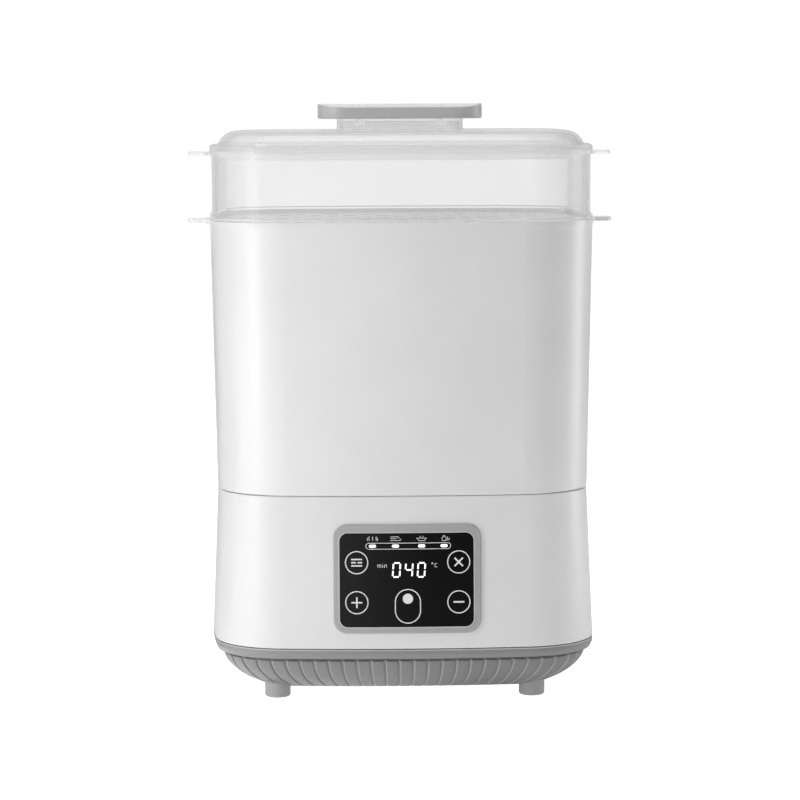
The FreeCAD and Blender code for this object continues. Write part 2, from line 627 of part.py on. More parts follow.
def make_fan():
    housing = new_body("fan_housing")
    drum = Profile(housing, "drum", "XZ_Plane", "-fan_y_back").circle("fan_radius", "0", "fan_axis")
    pad(housing, drum, "fan_y_back - fan_y_front")
    neck = Profile(housing, "neck", at="duct_low - 6")
    neck.rectangle("-duct_half", "duct_half", "duct_y_front", "duct_y_back")
    pad(housing, neck, "heater_low - duct_low + 6")
    hollow = Profile(housing, "hollow", "XZ_Plane", "-(fan_y_back - fan_wall)")
    hollow.circle("fan_radius - fan_wall", "0", "fan_axis")
    pocket(housing, hollow, "fan_y_back - fan_y_front - 2 * fan_wall", reverse=True)
    throat = Profile(housing, "throat", at="heater_low")
    throat.rectangle("-duct_half + fan_wall", "duct_half - fan_wall",
                     "duct_y_front + fan_wall", "duct_y_back - fan_wall")
    pocket(housing, throat, "heater_low - duct_low + 6")
    mouth = Profile(housing, "mouth", "XZ_Plane", "-fan_y_back - 1").circle("fan_inlet", "0", "fan_axis")
    pocket(housing, mouth, "fan_wall + 2", reverse=True)
    bearing = Profile(housing, "motor_hole", "XZ_Plane", "-fan_y_front + 1").circle("4", "0", "fan_axis")
    pocket(housing, bearing, "fan_wall + 2")

    motor = new_body("fan_motor")
    can = Profile(motor, "can", "XZ_Plane", "-fan_y_front").circle("motor_radius", "0", "fan_axis")
    pad(motor, can, "motor_length")
    boss = Profile(motor, "boss", "XZ_Plane", "-fan_y_front").circle("3.6", "0", "fan_axis")
    pad(motor, boss, "1.5", reverse=True)
    bore = Profile(motor, "bore", "XZ_Plane", "-fan_y_front - 3")
    bore.circle("shaft_radius + shaft_gap", "0", "fan_axis")
    pocket(motor, bore, "motor_length - 2", reverse=True)

    shaft = new_body("fan_shaft")
    rod = Profile(shaft, "rod", "XZ_Plane", "-(fan_y_back - 6)").circle("shaft_radius", "0", "fan_axis")
    pad(shaft, rod, "fan_y_back - fan_y_front + 14")

    wheel = new_body("fan_impeller")
    disc_at = "-(fan_y_front + fan_wall + 3)"
    disc = Profile(wheel, "disc", "XZ_Plane", disc_at).circle("wheel_radius")
    pad(wheel, disc, "1.4")
    hub = Profile(wheel, "hub", "XZ_Plane", disc_at).circle("hub_radius")
    pad(wheel, hub, "9", reverse=True)
    blade = Profile(wheel, "blade", "XZ_Plane", disc_at)
    blade.polygon([
        ("wheel_inner", "0"), ("wheel_radius - 0.4", "3.4"),
        ("wheel_radius - 0.6", "3.4 + blade_thickness"), ("wheel_inner", "blade_thickness")])
    repeat_round(wheel, pad(wheel, blade, "wheel_width", reverse=True), blade, "N_Axis", "blade_count")
    band = Profile(wheel, "band", "XZ_Plane", f"{disc_at} - wheel_width + 1.5").circle("wheel_radius")
    band.circle("wheel_inner + 1.5")
    pad(wheel, band, "1.5", reverse=True)
    bore = Profile(wheel, "bore", "XZ_Plane", f"{disc_at} + 5").circle("shaft_radius")
    pocket(wheel, bore, "20")
    bind(wheel, "Placement.Base.z", "fan_axis")


def make_air_heater():
    heater = new_body("air_heater")
    block = Profile(heater, "block", at="heater_low")
    block.rectangle("-duct_half", "duct_half", "duct_y_front", "duct_y_back")
    pad(heater, block, "heater_high - heater_low")
    gaps = Profile(heater, "gaps", at="heater_high")
    for number in range(SIZES["fin_count"]):
        middle = f"({number} - (fin_count - 1) / 2) * fin_pitch"
        gaps.rectangle(f"{middle} - fin_gap / 2", f"{middle} + fin_gap / 2",
                       "duct_y_front + 2", "duct_y_back - 2")
    pocket(heater, gaps, "heater_high - heater_low")

    duct = new_body("air_duct")
    foot = Profile(duct, "foot", at="heater_high")
    foot.rectangle("-duct_half", "duct_half", "duct_y_front", "duct_y_back")
    pad(duct, foot, "3")
    tube = Profile(duct, "tube", at="heater_high + 3").circle("chimney_radius", y="chimney_y")
    pad(duct, tube, "chimney_top - heater_high - 3")
    bore = Profile(duct, "bore", at="chimney_top").circle("chimney_bore - 1", y="chimney_y + 1")
    pocket(duct, bore, "chimney_top - heater_high")

    cap = new_body("air_outlet_cap")
    shell = Profile(cap, "shell", at="deck_top").circle("cap_radius")
    pad(cap, shell, "cap_top - deck_top")
    dress(cap, "Fillet", "2.5", level("cap_top"))
    inside = Profile(cap, "inside", at="deck_top").circle("cap_radius - cap_wall")
    pocket(cap, inside, "cap_top - deck_top - cap_wall", reverse=True)
    slot = Profile(cap, "slot", "XZ_Plane", "cap_radius + 2")
    slot.rounded("-1.8", "1.8", "deck_top + 2", "cap_top - 4", "1.2")
    one = pocket(cap, slot, "8")
    repeat_round(cap, one, slot, "V_Axis", "cap_slots")
    bind(cap, "Placement.Base.y", "chimney_y")


# Air filter and its cover at the back

def make_filter():
    cover = make_tile("filter_cover", "-filter_half", "filter_half", "filter_low", "filter_high",
                      "filter_corner", "panel_proud", "0.3", back=True)
    skirt = Profile(cover, "skirt", "XZ_Plane", "-(foot_half - 0.6)")
    gap = "filter_gap"
    skirt.rounded(f"-(intake_half - {gap})", f"intake_half - {gap}", f"intake_low + {gap}",
                  f"intake_high - {gap}", "intake_corner")
    wall = "filter_gap + 1.8"
    skirt.rounded(f"-(intake_half - ({wall}))", f"intake_half - ({wall})", f"intake_low + {wall}",
                  f"intake_high - ({wall})", "1.6")
    pad(cover, skirt, "filter_skirt")
    slots = Profile(cover, "slots", "XZ_Plane", "-(foot_half + 5)")
    for number in range(SIZES["slot_count"]):
        middle = f"({number} - (slot_count - 1) / 2) * slot_pitch"
        slots.rounded(f"{middle} - slot_width / 2", f"{middle} + slot_width / 2", "intake_low + 6",
                      "intake_high - 6", "slot_width / 2 - 0.05")
    pocket(cover, slots, "20", reverse=True)
    felt = new_body("air_filter")
    block = Profile(felt, "block", "XZ_Plane", "-(foot_half - 5.5)")
    block.rectangle("-(intake_half - 2.9)", "intake_half - 2.9", "intake_low + 2.9", "intake_high - 2.9")
    pad(felt, block, "7")


# Mains inlet and power board

def make_power():
    half, tall = "inlet_half + inlet_flange", "inlet_half_height + inlet_flange"
    inlet = make_tile("power_inlet", f"inlet_x - ({half})", f"inlet_x + {half}", f"inlet_z - ({tall})",
                      f"inlet_z + {tall}", "4", "inlet_flange_proud", "0", back=True)
    block = Profile(inlet, "block", "XZ_Plane", "-inlet_face")
    block.rectangle("inlet_x - inlet_half + fit_gap", "inlet_x + inlet_half - fit_gap",
                    "inlet_z - inlet_half_height + fit_gap", "inlet_z + inlet_half_height - fit_gap")
    pad(inlet, block, "inlet_depth")
    socket = Profile(inlet, "socket", "XZ_Plane", "-(foot_half + 2)")
    socket.rounded("inlet_x - socket_half", "inlet_x + socket_half", "inlet_z - socket_half_height",
                   "inlet_z + socket_half_height", "socket_half_height - 0.1")
    pocket(inlet, socket, "foot_half + 2 - inlet_face + socket_depth", reverse=True)
    pins = new_body("inlet_pins")
    rods = Profile(pins, "rods", "XZ_Plane", "-(inlet_face - 3)")
    for side in "-+":
        rods.circle("pin_radius", f"inlet_x {side} pin_spacing / 2", "inlet_z")
    pad(pins, rods, "socket_depth - 3")

    board = new_body("power_board")
    outline = Profile(board, "outline", at="power_low")
    outline.rectangle("power_x - power_half_x", "power_x + power_half_x",
                      "power_y - power_half_y", "power_y + power_half_y")
    pad(board, outline, "board_thickness")
    top = "power_low + board_thickness"
    relay = new_body("power_relay")
    box = Profile(relay, "box", at=top)
    box.rectangle("power_x - 22", "power_x - 6", "power_y - 38", "power_y - 18")
    pad(relay, box, "15.5")
    coil = new_body("power_transformer")
    core = Profile(coil, "core", at=top)
    core.rectangle("power_x - 20", "power_x + 10", "power_y + 4", "power_y + 30")
    pad(coil, core, "12")
    winding = Profile(coil, "winding", at=f"{top} + 12")
    winding.rectangle("power_x - 15", "power_x + 5", "power_y + 8", "power_y + 26")
    pad(coil, winding, "8")
    cans = new_body("board_capacitors")
    rounds = Profile(cans, "cans", at=top)
    rounds.circle("5", "power_x + 18", "power_y - 24").circle("5", "power_x + 18", "power_y - 6")
    rounds.circle("4", "power_x + 4", "power_y - 28")
    pad(cans, rounds, "14")


# Chamber

CHAMBER_LEAN = lean("chamber_low_half", "chamber_top_half", "chamber_low", "chamber_high")


def add_ears(body, at, reach):
    """Two thin lifting ears, left and right: narrow tips that flare out where they meet the wall."""
    right = [("ear_root", "rim_half"), ("ear_waist_depth", "ear_waist"), ("ear_tip", reach)]
    points = [(x, f"-{y}") for y, x in right] + [(x, y) for y, x in reversed(right)]
    points += [(f"-{x}", y) for y, x in right] + [(f"-{x}", f"-{y}") for y, x in reversed(right)]
    ears = Profile(body, "ears", at=at).polygon(points)
    pad(body, ears, "ear_thickness")
    end = value(reach)

    def at_tip(edge):
        """Whether an edge is an upright one at the end of an ear."""
        box = edge.BoundBox
        return box.XLength + box.YLength < 0.01 and abs(abs(box.XMin) - end) < 0.01

    dress(body, "Fillet", "ear_round", at_tip)


def drill_grid(body, name, at, depth, radius, pitch, count):
    """Vent holes over a floor: a square grid, each second row moved by half a pitch."""
    holes = Profile(body, name, at=at)
    for row in range(count):
        for column in range(count - row % 2):
            x = f"({column + (row % 2) / 2} - ({count} - 1) / 2) * {pitch}"
            y = f"({row} - ({count} - 1) / 2) * {pitch}"
            holes.circle(radius, x, y)
    pocket(body, holes, depth)


def make_chamber():
    body = new_body("chamber_shell")
    outline = Profile(body, "outline", at="chamber_low").crowned("chamber_low_half")
    pad(body, outline, "chamber_high - chamber_low", CHAMBER_LEAN)
    dress(body, "Fillet", "shell_round", level("chamber_low"))
    rim = Profile(body, "rim", at="chamber_high").crowned("rim_half")
    pad(body, rim, "rim_top - chamber_high")
    add_ears(body, "ear_low", "ear_half")
    mouth = "chamber_top_half - chamber_wall"
    inside = Profile(body, "inside", at="rim_top").crowned(mouth, "corner_radius - chamber_wall")
    pocket(body, inside, "rim_top - floor_low - floor_thickness", f"-{CHAMBER_LEAN}")
    skirt = Profile(body, "skirt", at="deck_top").crowned("skirt_half", "corner_radius - 3")
    pad(body, skirt, "floor_low - deck_top")
    hollow = Profile(body, "skirt_hollow", at="deck_top")
    hollow.crowned("skirt_half - skirt_wall", "corner_radius - 3 - skirt_wall")
    pocket(body, hollow, "floor_low - deck_top", reverse=True)
    drill_grid(body, "vents", "floor_low + floor_thickness", "floor_thickness", "vent_radius",
               "vent_pitch", SIZES["vent_count"])


def make_rack():
    """A lift-out rack: an open plate with posts for upturned bottles and a stem to lift it by."""
    body = new_body("bottle_rack")
    plate = Profile(body, "plate", at="rack_low").crowned("rack_half", "rack_corner")
    pad(body, plate, "rack_thickness")
    holes = Profile(body, "holes", at="rack_low + rack_thickness")
    for number in range(6):
        angle = 60 * number + 30
        holes.circle("rack_hole", f"rack_ring * cos({angle})", f"rack_ring * sin({angle})")
    for number in range(4):
        angle = 90 * number + 45
        holes.circle("rack_edge", f"rack_edge_ring * cos({angle})", f"rack_edge_ring * sin({angle})")
    pocket(body, holes, "rack_thickness")
    posts = Profile(body, "posts", at="rack_low + rack_thickness")
    for number in range(6):
        angle = 60 * number
        posts.circle("rack_post_radius", f"rack_ring * cos({angle})", f"rack_ring * sin({angle})")
    pad(body, posts, "rack_post_top - rack_low - rack_thickness", "-0.8")
    stem = Profile(body, "stem", at="rack_low + rack_thickness").circle("rack_stem_radius")
    pad(body, stem, "rack_stem_top - rack_low - rack_thickness")
    knob = Profile(body, "knob", at="rack_stem_top").circle("rack_knob")
    pad(body, knob, "rack_knob_height")
    dress(body, "Fillet", "2.5", level("rack_stem_top + rack_knob_height"))


# Tray

def make_tray():
    body = new_body("tray_shell")
    wall = Profile(body, "wall", at="tray_flange_high").crowned("tray_low_half")
    pad(body, wall, "tray_top - tray_flange_high",
        lean("tray_low_half", "tray_top_half", "tray_flange_high", "tray_top"))
    flange = Profile(body, "flange", at="tray_flange_low").crowned("tray_flange_half")
    pad(body, flange, "tray_flange_high - tray_flange_low")
    rim = Profile(body, "rim", at="tray_rim_low").crowned("tray_rim_half")
    pad(body, rim, "tray_top - tray_rim_low")
    add_ears(body, "tray_ear_low", "tray_ear")
    skirt = Profile(body, "skirt", at="tray_skirt_low").crowned("tray_skirt_half", "corner_radius - 2")
    pad(body, skirt, "tray_flange_low - tray_skirt_low")
    inside = Profile(body, "inside", at="tray_top")
    inside.crowned("tray_top_half - tray_wall", "corner_radius - tray_wall")
    pocket(body, inside, "tray_top - tray_flange_high")
    well = Profile(body, "well", at="tray_flange_high")
    well.crowned("tray_skirt_half - tray_wall", "corner_radius - 2 - tray_wall")
    pocket(body, well, "tray_flange_high - tray_floor")
    below = Profile(body, "below", at="tray_skirt_low")
    below.crowned("tray_skirt_half - tray_wall", "corner_radius - 2 - tray_wall")
    pocket(body, below, "tray_floor - tray_floor_thickness - tray_skirt_low", reverse=True)
    drill_grid(body, "vents", "tray_floor", "tray_floor_thickness", "vent_radius", "vent_pitch",
               SIZES["vent_count"])


# Lid and its handle

def make_lid():
    cavity = new_body("lid_cavity", node=False)
    inner_corner = "corner_radius - lid_wall"
    inside = Profile(cavity, "inside", at="lid_skirt_low").crowned("lid_half - lid_wall", inner_corner)
    pad(cavity, inside, "lid_top - lid_wall - lid_skirt_low")
    dress(cavity, "Fillet", "lid_round - lid_wall", level("lid_top - lid_wall"))
    neck_inside = Profile(cavity, "neck_inside", at="lid_top - lid_wall - 1")
    neck_inside.rounded("-(neck_half - neck_wall)", "neck_half - neck_wall", "-(neck_depth - neck_wall)",
                        "neck_depth - neck_wall", "neck_corner - neck_wall")
    pad(cavity, neck_inside, "neck_top - neck_wall - lid_top + lid_wall + 1")

    body = new_body("lid_shell")
    dome = Profile(body, "dome", at="lid_flange_low").crowned("lid_half")
    pad(body, dome, "lid_top - lid_flange_low")
    dress(body, "Fillet", "lid_round", level("lid_top"))
    flange = Profile(body, "flange", at="lid_flange_low").crowned("lid_flange_half")
    pad(body, flange, "lid_flange_high - lid_flange_low")
    outer_edge = level("lid_flange_high")
    dome_half = value("lid_half") + 1

    def on_flange(edge):
        """Whether an edge is on the flange's outline, and not where the dome meets it."""
        box = edge.BoundBox
        return outer_edge(edge) and max(box.XMax, -box.XMin, box.YMax, -box.YMin) > dome_half

    dress(body, "Fillet", "lid_edge_round", on_flange)
    neck = Profile(body, "neck", at="lid_top - 1")
    neck.rounded("-neck_half", "neck_half", "-neck_depth", "neck_depth", "neck_corner")
    pad(body, neck, "neck_top - lid_top + 1")
    skirt = Profile(body, "skirt", at="lid_skirt_low").crowned("lid_skirt_half", "corner_radius - 3")
    pad(body, skirt, "lid_flange_low - lid_skirt_low")
    cut = body.newObject("PartDesign::Boolean", "lid_hollow")
    cut.Type = "Cut"
    cut.Group = [cavity]
    finish_feature(body, cut)
    holes = Profile(body, "screw_holes", at="neck_top")
    for side in ("", "-"):
        holes.circle("handle_screw_radius + 0.2", f"{side}handle_screw_x")
    pocket(body, holes, "neck_wall + 1")
    vents = Profile(body, "vents", at="lid_top")
    for step in range(-2, 3):
        vents.circle("vent_hole", f"{step} * lid_vent_pitch", "lid_vent_y")
    pocket(body, vents, "lid_wall + 1")


def grip_plan(body, name, at, inset="0"):
    """The handle's plan, or one that stands inside it."""
    plan = Profile(body, name, at=at)
    return plan.rounded(f"-(grip_half - ({inset}))", f"grip_half - ({inset})", f"-(grip_depth - ({inset}))",
                        f"grip_depth - ({inset})", f"grip_corner - ({inset})")


def crown_top(body, crown, top):
    """Round the top of a piece across its depth, with one large radius about the X axis."""
    radius, height = value(crown), value(top)
    span, room = value("crown_span"), value("crown_room")
    drop = radius - math.sqrt(radius ** 2 - span ** 2)
    profile = Profile(body, "crown", "YZ_Plane", "-90")
    sketch = profile.sketch
    circle = Part.Circle(Vector(0, height - radius, 0), UP, radius)
    spread = math.asin(span / radius)
    arc = sketch.addGeometry(Part.ArcOfCircle(circle, math.pi / 2 - spread, math.pi / 2 + spread))
    corners = [Vector(-span, height - drop, 0), Vector(-span, height + room, 0),
               Vector(span, height + room, 0), Vector(span, height - drop, 0)]
    lines = [sketch.addGeometry(Part.LineSegment(a, b)) for a, b in zip(corners, corners[1:])]
    for piece, following in zip([arc] + lines, lines + [arc]):
        profile.rule("Coincident", piece, 2, following, 1)
    profile.rule("Radius", arc, size=crown)
    profile.place(arc, 3, "0", f"({top}) - ({crown})")
    profile.place(lines[1], 1, "-crown_span", f"({top}) + crown_room")
    profile.place(lines[1], 2, "crown_span", f"({top}) + crown_room")
    profile.rule("Vertical", lines[0])
    profile.rule("Vertical", lines[2])
    pocket(body, profile, "180", reverse=True)


def make_handle():
    grip = new_body("lid_handle_grip")
    pad(grip, grip_plan(grip, "plan", "neck_top"), "grip_top - neck_top + 1")
    crown_top(grip, "grip_crown", "grip_top")
    dress(grip, "Fillet", "grip_round", level("neck_top"))
    pocket(grip, grip_plan(grip, "inlay_seat", "grip_top + 2", "inlay_inset"), "grip_top + 2 - inlay_floor")
    holes = Profile(grip, "screw_holes", at="neck_top")
    for side in ("", "-"):
        holes.circle("handle_screw_radius + 0.05", f"{side}handle_screw_x")
    pocket(grip, holes, "4.2", reverse=True)

    inlay = new_body("lid_handle_inlay")
    plan = grip_plan(inlay, "plan", "inlay_floor", "inlay_inset + inlay_gap")
    pad(inlay, plan, "grip_top - inlay_floor + 1")
    crown_top(inlay, "grip_crown", "grip_top")

    screws = new_body("lid_handle_screws")
    shanks = Profile(screws, "shanks", at="neck_top - neck_wall")
    heads = Profile(screws, "heads", at="neck_top - neck_wall")
    for side in ("", "-"):
        shanks.circle("handle_screw_radius", f"{side}handle_screw_x")
        heads.circle("handle_screw_head", f"{side}handle_screw_x")
    pad(screws, shanks, "neck_wall + 4")
    pad(screws, heads, "2.4", reverse=True)


# Wiring inside the base

def along(points):
    """A wire path: straight runs between points, with a tangent arc at each turn."""
    turns = [Vector(*(value(c) for c in point)) for point in points]
    edges, start = [], turns[0]
    for before, corner, after in zip(turns, turns[1:], turns[2:]):
        into, out = (corner - before), (after - corner)
        reach = 0.45 * min(into.Length, out.Length)
        into.normalize()
        out.normalize()
        first, last = corner - into * reach, corner + out * reach
        bend = into.getAngle(out)
        radius = reach / math.tan(bend / 2)
        middle_way = (out - into).normalize()
        middle = corner + middle_way * (radius / math.cos(bend / 2) - radius)
        edges.append(Part.LineSegment(start, first).toShape())
        edges.append(Part.Arc(first, middle, last).toShape())
        start = last
    edges.append(Part.LineSegment(start, turns[-1]).toShape())
    return Part.Wire(edges)


def make_wires(label, routes, radius):
    """Insulated wires: one round tube along each route."""
    tubes = []
    for route in routes:
        path = along(route)
        first = path.Edges[0]
        section = Part.Wire(Part.makeCircle(value(radius), first.valueAt(0), first.tangentAt(0)))
        tubes.append(path.makePipeShell([section], True, False))
    node = doc.addObject("Part::Feature", label)
    node.Label = label
    node.Shape = Part.makeCompound(tubes)
    NODES.append(node)


def make_wiring():
    top = "power_low + board_thickness + 0.1"
    mains = [[(f"inlet_x {side} pin_spacing / 2", "inlet_face - inlet_depth - 0.1", "inlet_z"),
              (f"inlet_x {side} pin_spacing / 2", "fan_y_front + 8", "inlet_z"),
              (f"48 {side} 4", f"66 {side} -4", "34"), (f"10 {side} 4", f"36 {side} -4", "33"),
              (f"-34 {side} 2", f"14 {side} -3", "34"), (f"-34 {side} 2", f"14 {side} -3", top)]
             for side in "-+"]
    make_wires("mains_wires", mains, "wire_radius")
    low = "dish_floor - plate_thickness - 2 * element_radius - 13"
    heat = [[(f"cutout_x {side} 4", "plate_y", low), (f"cutout_x {side} 4", "plate_y", "72"),
             (f"0 {side} 3", "-40", "52"), (f"-24 {side} 2", "-44", "44"), (f"-35 {side} 2", "-46", "38"),
             (f"-35 {side} 2", "-46", top)]
            for side in "-+"]
    make_wires("heater_wires", heat, "wire_radius")
    panel = [[(f"{x}", "-board_back + board_thickness + 0.1", "60"), (f"{x}", "-98", "60"),
              (f"{x}", "-80", "36"), (f"{x} - 26", "-64", "34"), (f"{x} - 44", "-51", "33"),
              (f"{x} - 44", "-51", top)]
             for x in ("-6", "-2", "2")]
    make_wires("panel_wires", panel, "wire_radius - 0.3")


for make in (make_base_shell, make_bottom_cover, make_feet, make_panel, make_display, make_heater,
             make_fan, make_air_heater, make_filter, make_power, make_wiring, make_chamber, make_rack,
             make_tray, make_lid, make_handle):
    make()

doc.recompute()
for item in doc.Objects:
    if {"Invalid", "Error"} & set(item.State):
        raise RuntimeError(f"{item.Name} failed: {item.State}")
os.makedirs("parts", exist_ok=True)
for node in NODES:
    if node.Shape.isNull() or not node.Shape.isValid() or not node.Shape.Solids:
        raise RuntimeError(f"{node.Label} has no valid shape")
for node in NODES:
    node.Shape.exportStep(f"parts/{node.Label}.step")
    box = node.Shape.BoundBox
    print(f"{node.Label:22s} solids {len(node.Shape.Solids):2d}  volume {node.Shape.Volume / 1000:8.2f} cm3"
          f"  x {box.XMin:7.1f} {box.XMax:7.1f}  y {box.YMin:7.1f} {box.YMax:7.1f}"
          f"  z {box.ZMin:6.1f} {box.ZMax:6.1f}")
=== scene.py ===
import math

import bmesh
import bpy
from mathutils import Matrix, Vector


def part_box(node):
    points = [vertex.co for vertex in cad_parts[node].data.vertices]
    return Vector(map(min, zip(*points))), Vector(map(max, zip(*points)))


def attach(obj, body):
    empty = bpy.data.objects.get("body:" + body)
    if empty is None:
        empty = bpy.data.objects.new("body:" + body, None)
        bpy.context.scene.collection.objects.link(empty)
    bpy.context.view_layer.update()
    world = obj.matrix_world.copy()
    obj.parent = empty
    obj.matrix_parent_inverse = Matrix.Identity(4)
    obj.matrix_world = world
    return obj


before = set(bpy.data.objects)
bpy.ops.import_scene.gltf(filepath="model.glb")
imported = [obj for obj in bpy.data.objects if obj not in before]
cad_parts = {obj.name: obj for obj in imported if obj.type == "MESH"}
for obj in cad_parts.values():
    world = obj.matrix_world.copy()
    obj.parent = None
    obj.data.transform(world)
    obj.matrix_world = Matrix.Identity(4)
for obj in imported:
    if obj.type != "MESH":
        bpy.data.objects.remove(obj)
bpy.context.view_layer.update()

# The looks of an electric steam steriliser and dryer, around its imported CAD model.
# Metres. +Z is up and the control panel faces -Y.

MM = 0.001


# ---------------------------------------------------------------- camera, floor and light

CAMERA_DISTANCE = 1.930
CAMERA_HEIGHT = 0.3757
CAMERA_SIDE = math.radians(1.3)
CAMERA_AIM = math.radians(1.2886)
CAMERA_DOWN = math.radians(5.807)
CAMERA_ROLL = math.radians(-0.25)
CAMERA_LENS = 132.75
WORLD_SOFT = 0.12
WORLD_BEHIND = 1.0
# How far towards +Y a direction points where the bright part behind the object begins and is full.
BEHIND_FROM = 0.80
BEHIND_TO = 0.95
FLOOR_HALF = 6.0
FLOOR_GLOW = 0.42
FLOOR_SEEN = 1.0
# How bright the floor is where the object mirrors it: much more in front on the left.
FLOOR_SHEEN = 3.0
FLOOR_DULL = 0.1
FLOOR_SHEEN_FROM = -0.25
FLOOR_SHEEN_TO = 0.05
FLOOR_SHEEN_FRONT = -0.12
FLOOR_SHEEN_BACK = 0.04


def make_camera():
    data = bpy.data.cameras.new("camera")
    data.lens = CAMERA_LENS
    data.sensor_width = 36
    data.clip_start = 0.05
    camera = bpy.data.objects.new("camera", data)
    bpy.context.scene.collection.objects.link(camera)
    place = Matrix.Translation((-CAMERA_DISTANCE * math.sin(CAMERA_SIDE),
                                -CAMERA_DISTANCE * math.cos(CAMERA_SIDE), CAMERA_HEIGHT))
    camera.matrix_world = (place @ Matrix.Rotation(-CAMERA_AIM, 4, "Z")
                           @ Matrix.Rotation(math.pi / 2 - CAMERA_DOWN, 4, "X")
                           @ Matrix.Rotation(CAMERA_ROLL, 4, "Z"))
    bpy.context.scene.camera = camera


def add_light(name, place, target, width, height, power):
    data = bpy.data.lights.new(name, "AREA")
    data.shape = "RECTANGLE"
    data.size = width
    data.size_y = height
    data.energy = power
    light = bpy.data.objects.new(name, data)
    light.location = place
    light.rotation_euler = (Vector(target) - Vector(place)).to_track_quat("-Z", "Y").to_euler()
    bpy.context.scene.collection.objects.link(light)


def make_stage():
    """A pale floor, a white surround and soft studio light, brighter from the left."""
    scene = bpy.context.scene
    scene.view_settings.view_transform = "Standard"
    scene.view_settings.look = "None"
    world = bpy.data.worlds.new("studio")
    scene.world = world
    world.use_nodes = True
    nodes, links = world.node_tree.nodes, world.node_tree.links
    nodes.clear()
    out = nodes.new("ShaderNodeOutputWorld")
    seen = nodes.new("ShaderNodeBackground")
    seen.inputs["Color"].default_value = (1, 1, 1, 1)
    seen.inputs["Strength"].default_value = 1.0
    lit = nodes.new("ShaderNodeBackground")
    lit.inputs["Color"].default_value = (1, 1, 1, 1)
    place = nodes.new("ShaderNodeTexCoord")
    split = nodes.new("ShaderNodeSeparateXYZ")
    behind = nodes.new("ShaderNodeMapRange")
    for label, number in (("From Min", BEHIND_FROM), ("From Max", BEHIND_TO), ("To Min", WORLD_SOFT),
                          ("To Max", WORLD_BEHIND)):
        behind.inputs[label].default_value = number
    links.new(place.outputs["Generated"], split.inputs["Vector"])
    links.new(split.outputs["Y"], behind.inputs["Value"])
    links.new(behind.outputs["Result"], lit.inputs["Strength"])
    path = nodes.new("ShaderNodeLightPath")
    mix = nodes.new("ShaderNodeMixShader")
    links.new(path.outputs["Is Camera Ray"], mix.inputs["Fac"])
    links.new(lit.outputs[0], mix.inputs[1])
    links.new(seen.outputs[0], mix.inputs[2])
    links.new(mix.outputs[0], out.inputs["Surface"])

    mesh = bpy.data.meshes.new("floor")
    half = FLOOR_HALF
    mesh.from_pydata([(-half, -half, 0), (half, -half, 0), (half, half, 0), (-half, half, 0)], [],
                     [(0, 1, 2, 3)])
    floor = bpy.data.objects.new("floor", mesh)
    scene.collection.objects.link(floor)
    material, shader, tools = new_material("floor_white", (0.9, 0.9, 0.9), 0.8)
    shader.inputs["Emission Color"].default_value = (1, 1, 1, 1)
    path = tools.node("ShaderNodeLightPath")
    place = tools.node("ShaderNodeTexCoord")
    split = tools.node("ShaderNodeSeparateXYZ")
    side = tools.node("ShaderNodeMapRange", From_Min=FLOOR_SHEEN_FROM, From_Max=FLOOR_SHEEN_TO,
                      To_Min=FLOOR_SHEEN, To_Max=FLOOR_DULL)
    tools.join(place.outputs["Object"], split.inputs["Vector"])
    tools.join(split.outputs["X"], side.inputs["Value"])
    ahead = tools.node("ShaderNodeMapRange", From_Min=FLOOR_SHEEN_BACK, From_Max=FLOOR_SHEEN_FRONT)
    shaped = tools.node("ShaderNodeMath")
    shaped.operation = "MULTIPLY"
    tools.join(split.outputs["Y"], ahead.inputs["Value"])
    tools.join(side.outputs["Result"], shaped.inputs[0])
    tools.join(ahead.outputs["Result"], shaped.inputs[1])
    soft = tools.node("ShaderNodeMix", A=FLOOR_GLOW)
    tools.join(path.outputs["Is Glossy Ray"], soft.inputs["Factor"])
    tools.join(shaped.outputs["Value"], soft.inputs["B"])
    glow = tools.node("ShaderNodeMix", B=FLOOR_SEEN)
    tools.join(path.outputs["Is Camera Ray"], glow.inputs["Factor"])
    tools.join(soft.outputs["Result"], glow.inputs["A"])
    tools.join(glow.outputs["Result"], shader.inputs["Emission Strength"])
    mesh.materials.append(material)

    add_light("key_left", (-0.90, -0.62, 0.50), (0, 0, 0.20), 0.38, 1.1, 4.7)
    add_light("front_soft", (-0.25, -2.4, 1.3), (0, 0, 0.2), 1.6, 1.2, 3.4)
    add_light("rim_right", (1.0, 0.20, 0.4), (0, 0, 0.22), 0.40, 1.1, 4.0)
    add_light("top_soft", (-0.2, -0.1, 1.7), (0, 0, 0.3), 1.2, 1.2, 11)


# ---------------------------------------------------------------- materials

# The clear plastic: what a thick rim adds to it, partly its thicker plastic and partly painted shade, where
# the painted glow of its walls begins and stops fading as they turn edge on, a painted shade along them, and
# how much of it is gloss seen face on and edge on, with the power between.
RIM_SOLID_AND_SHADE = 0.18
PAINTED_GLOW_FADE_FROM = 0.40
PAINTED_GLOW_FADE_TO = 0.65
GLOSS_FACE_ON = 0.012
GLOSS_EDGE_ON = 0.15
GLOSS_POWER = 5


class Tools:
    """Shorthand for making and joining the nodes of one material."""

    def __init__(self, tree):
        self.tree = tree

    def node(self, kind, **sockets):
        made = self.tree.nodes.new(kind)
        for name, number in sockets.items():
            made.inputs[name.replace("_", " ")].default_value = number
        return made

    def join(self, source, target):
        self.tree.links.new(source, target)


def new_material(name, colour, roughness, **sockets):
    material = bpy.data.materials.new(name)
    material.use_nodes = True
    shader = material.node_tree.nodes["Principled BSDF"]
    shader.inputs["Base Color"].default_value = (*colour, 1)
    shader.inputs["Roughness"].default_value = roughness
    for label, number in sockets.items():
        shader.inputs[label.replace("_", " ")].default_value = number
    return material, shader, Tools(material.node_tree)


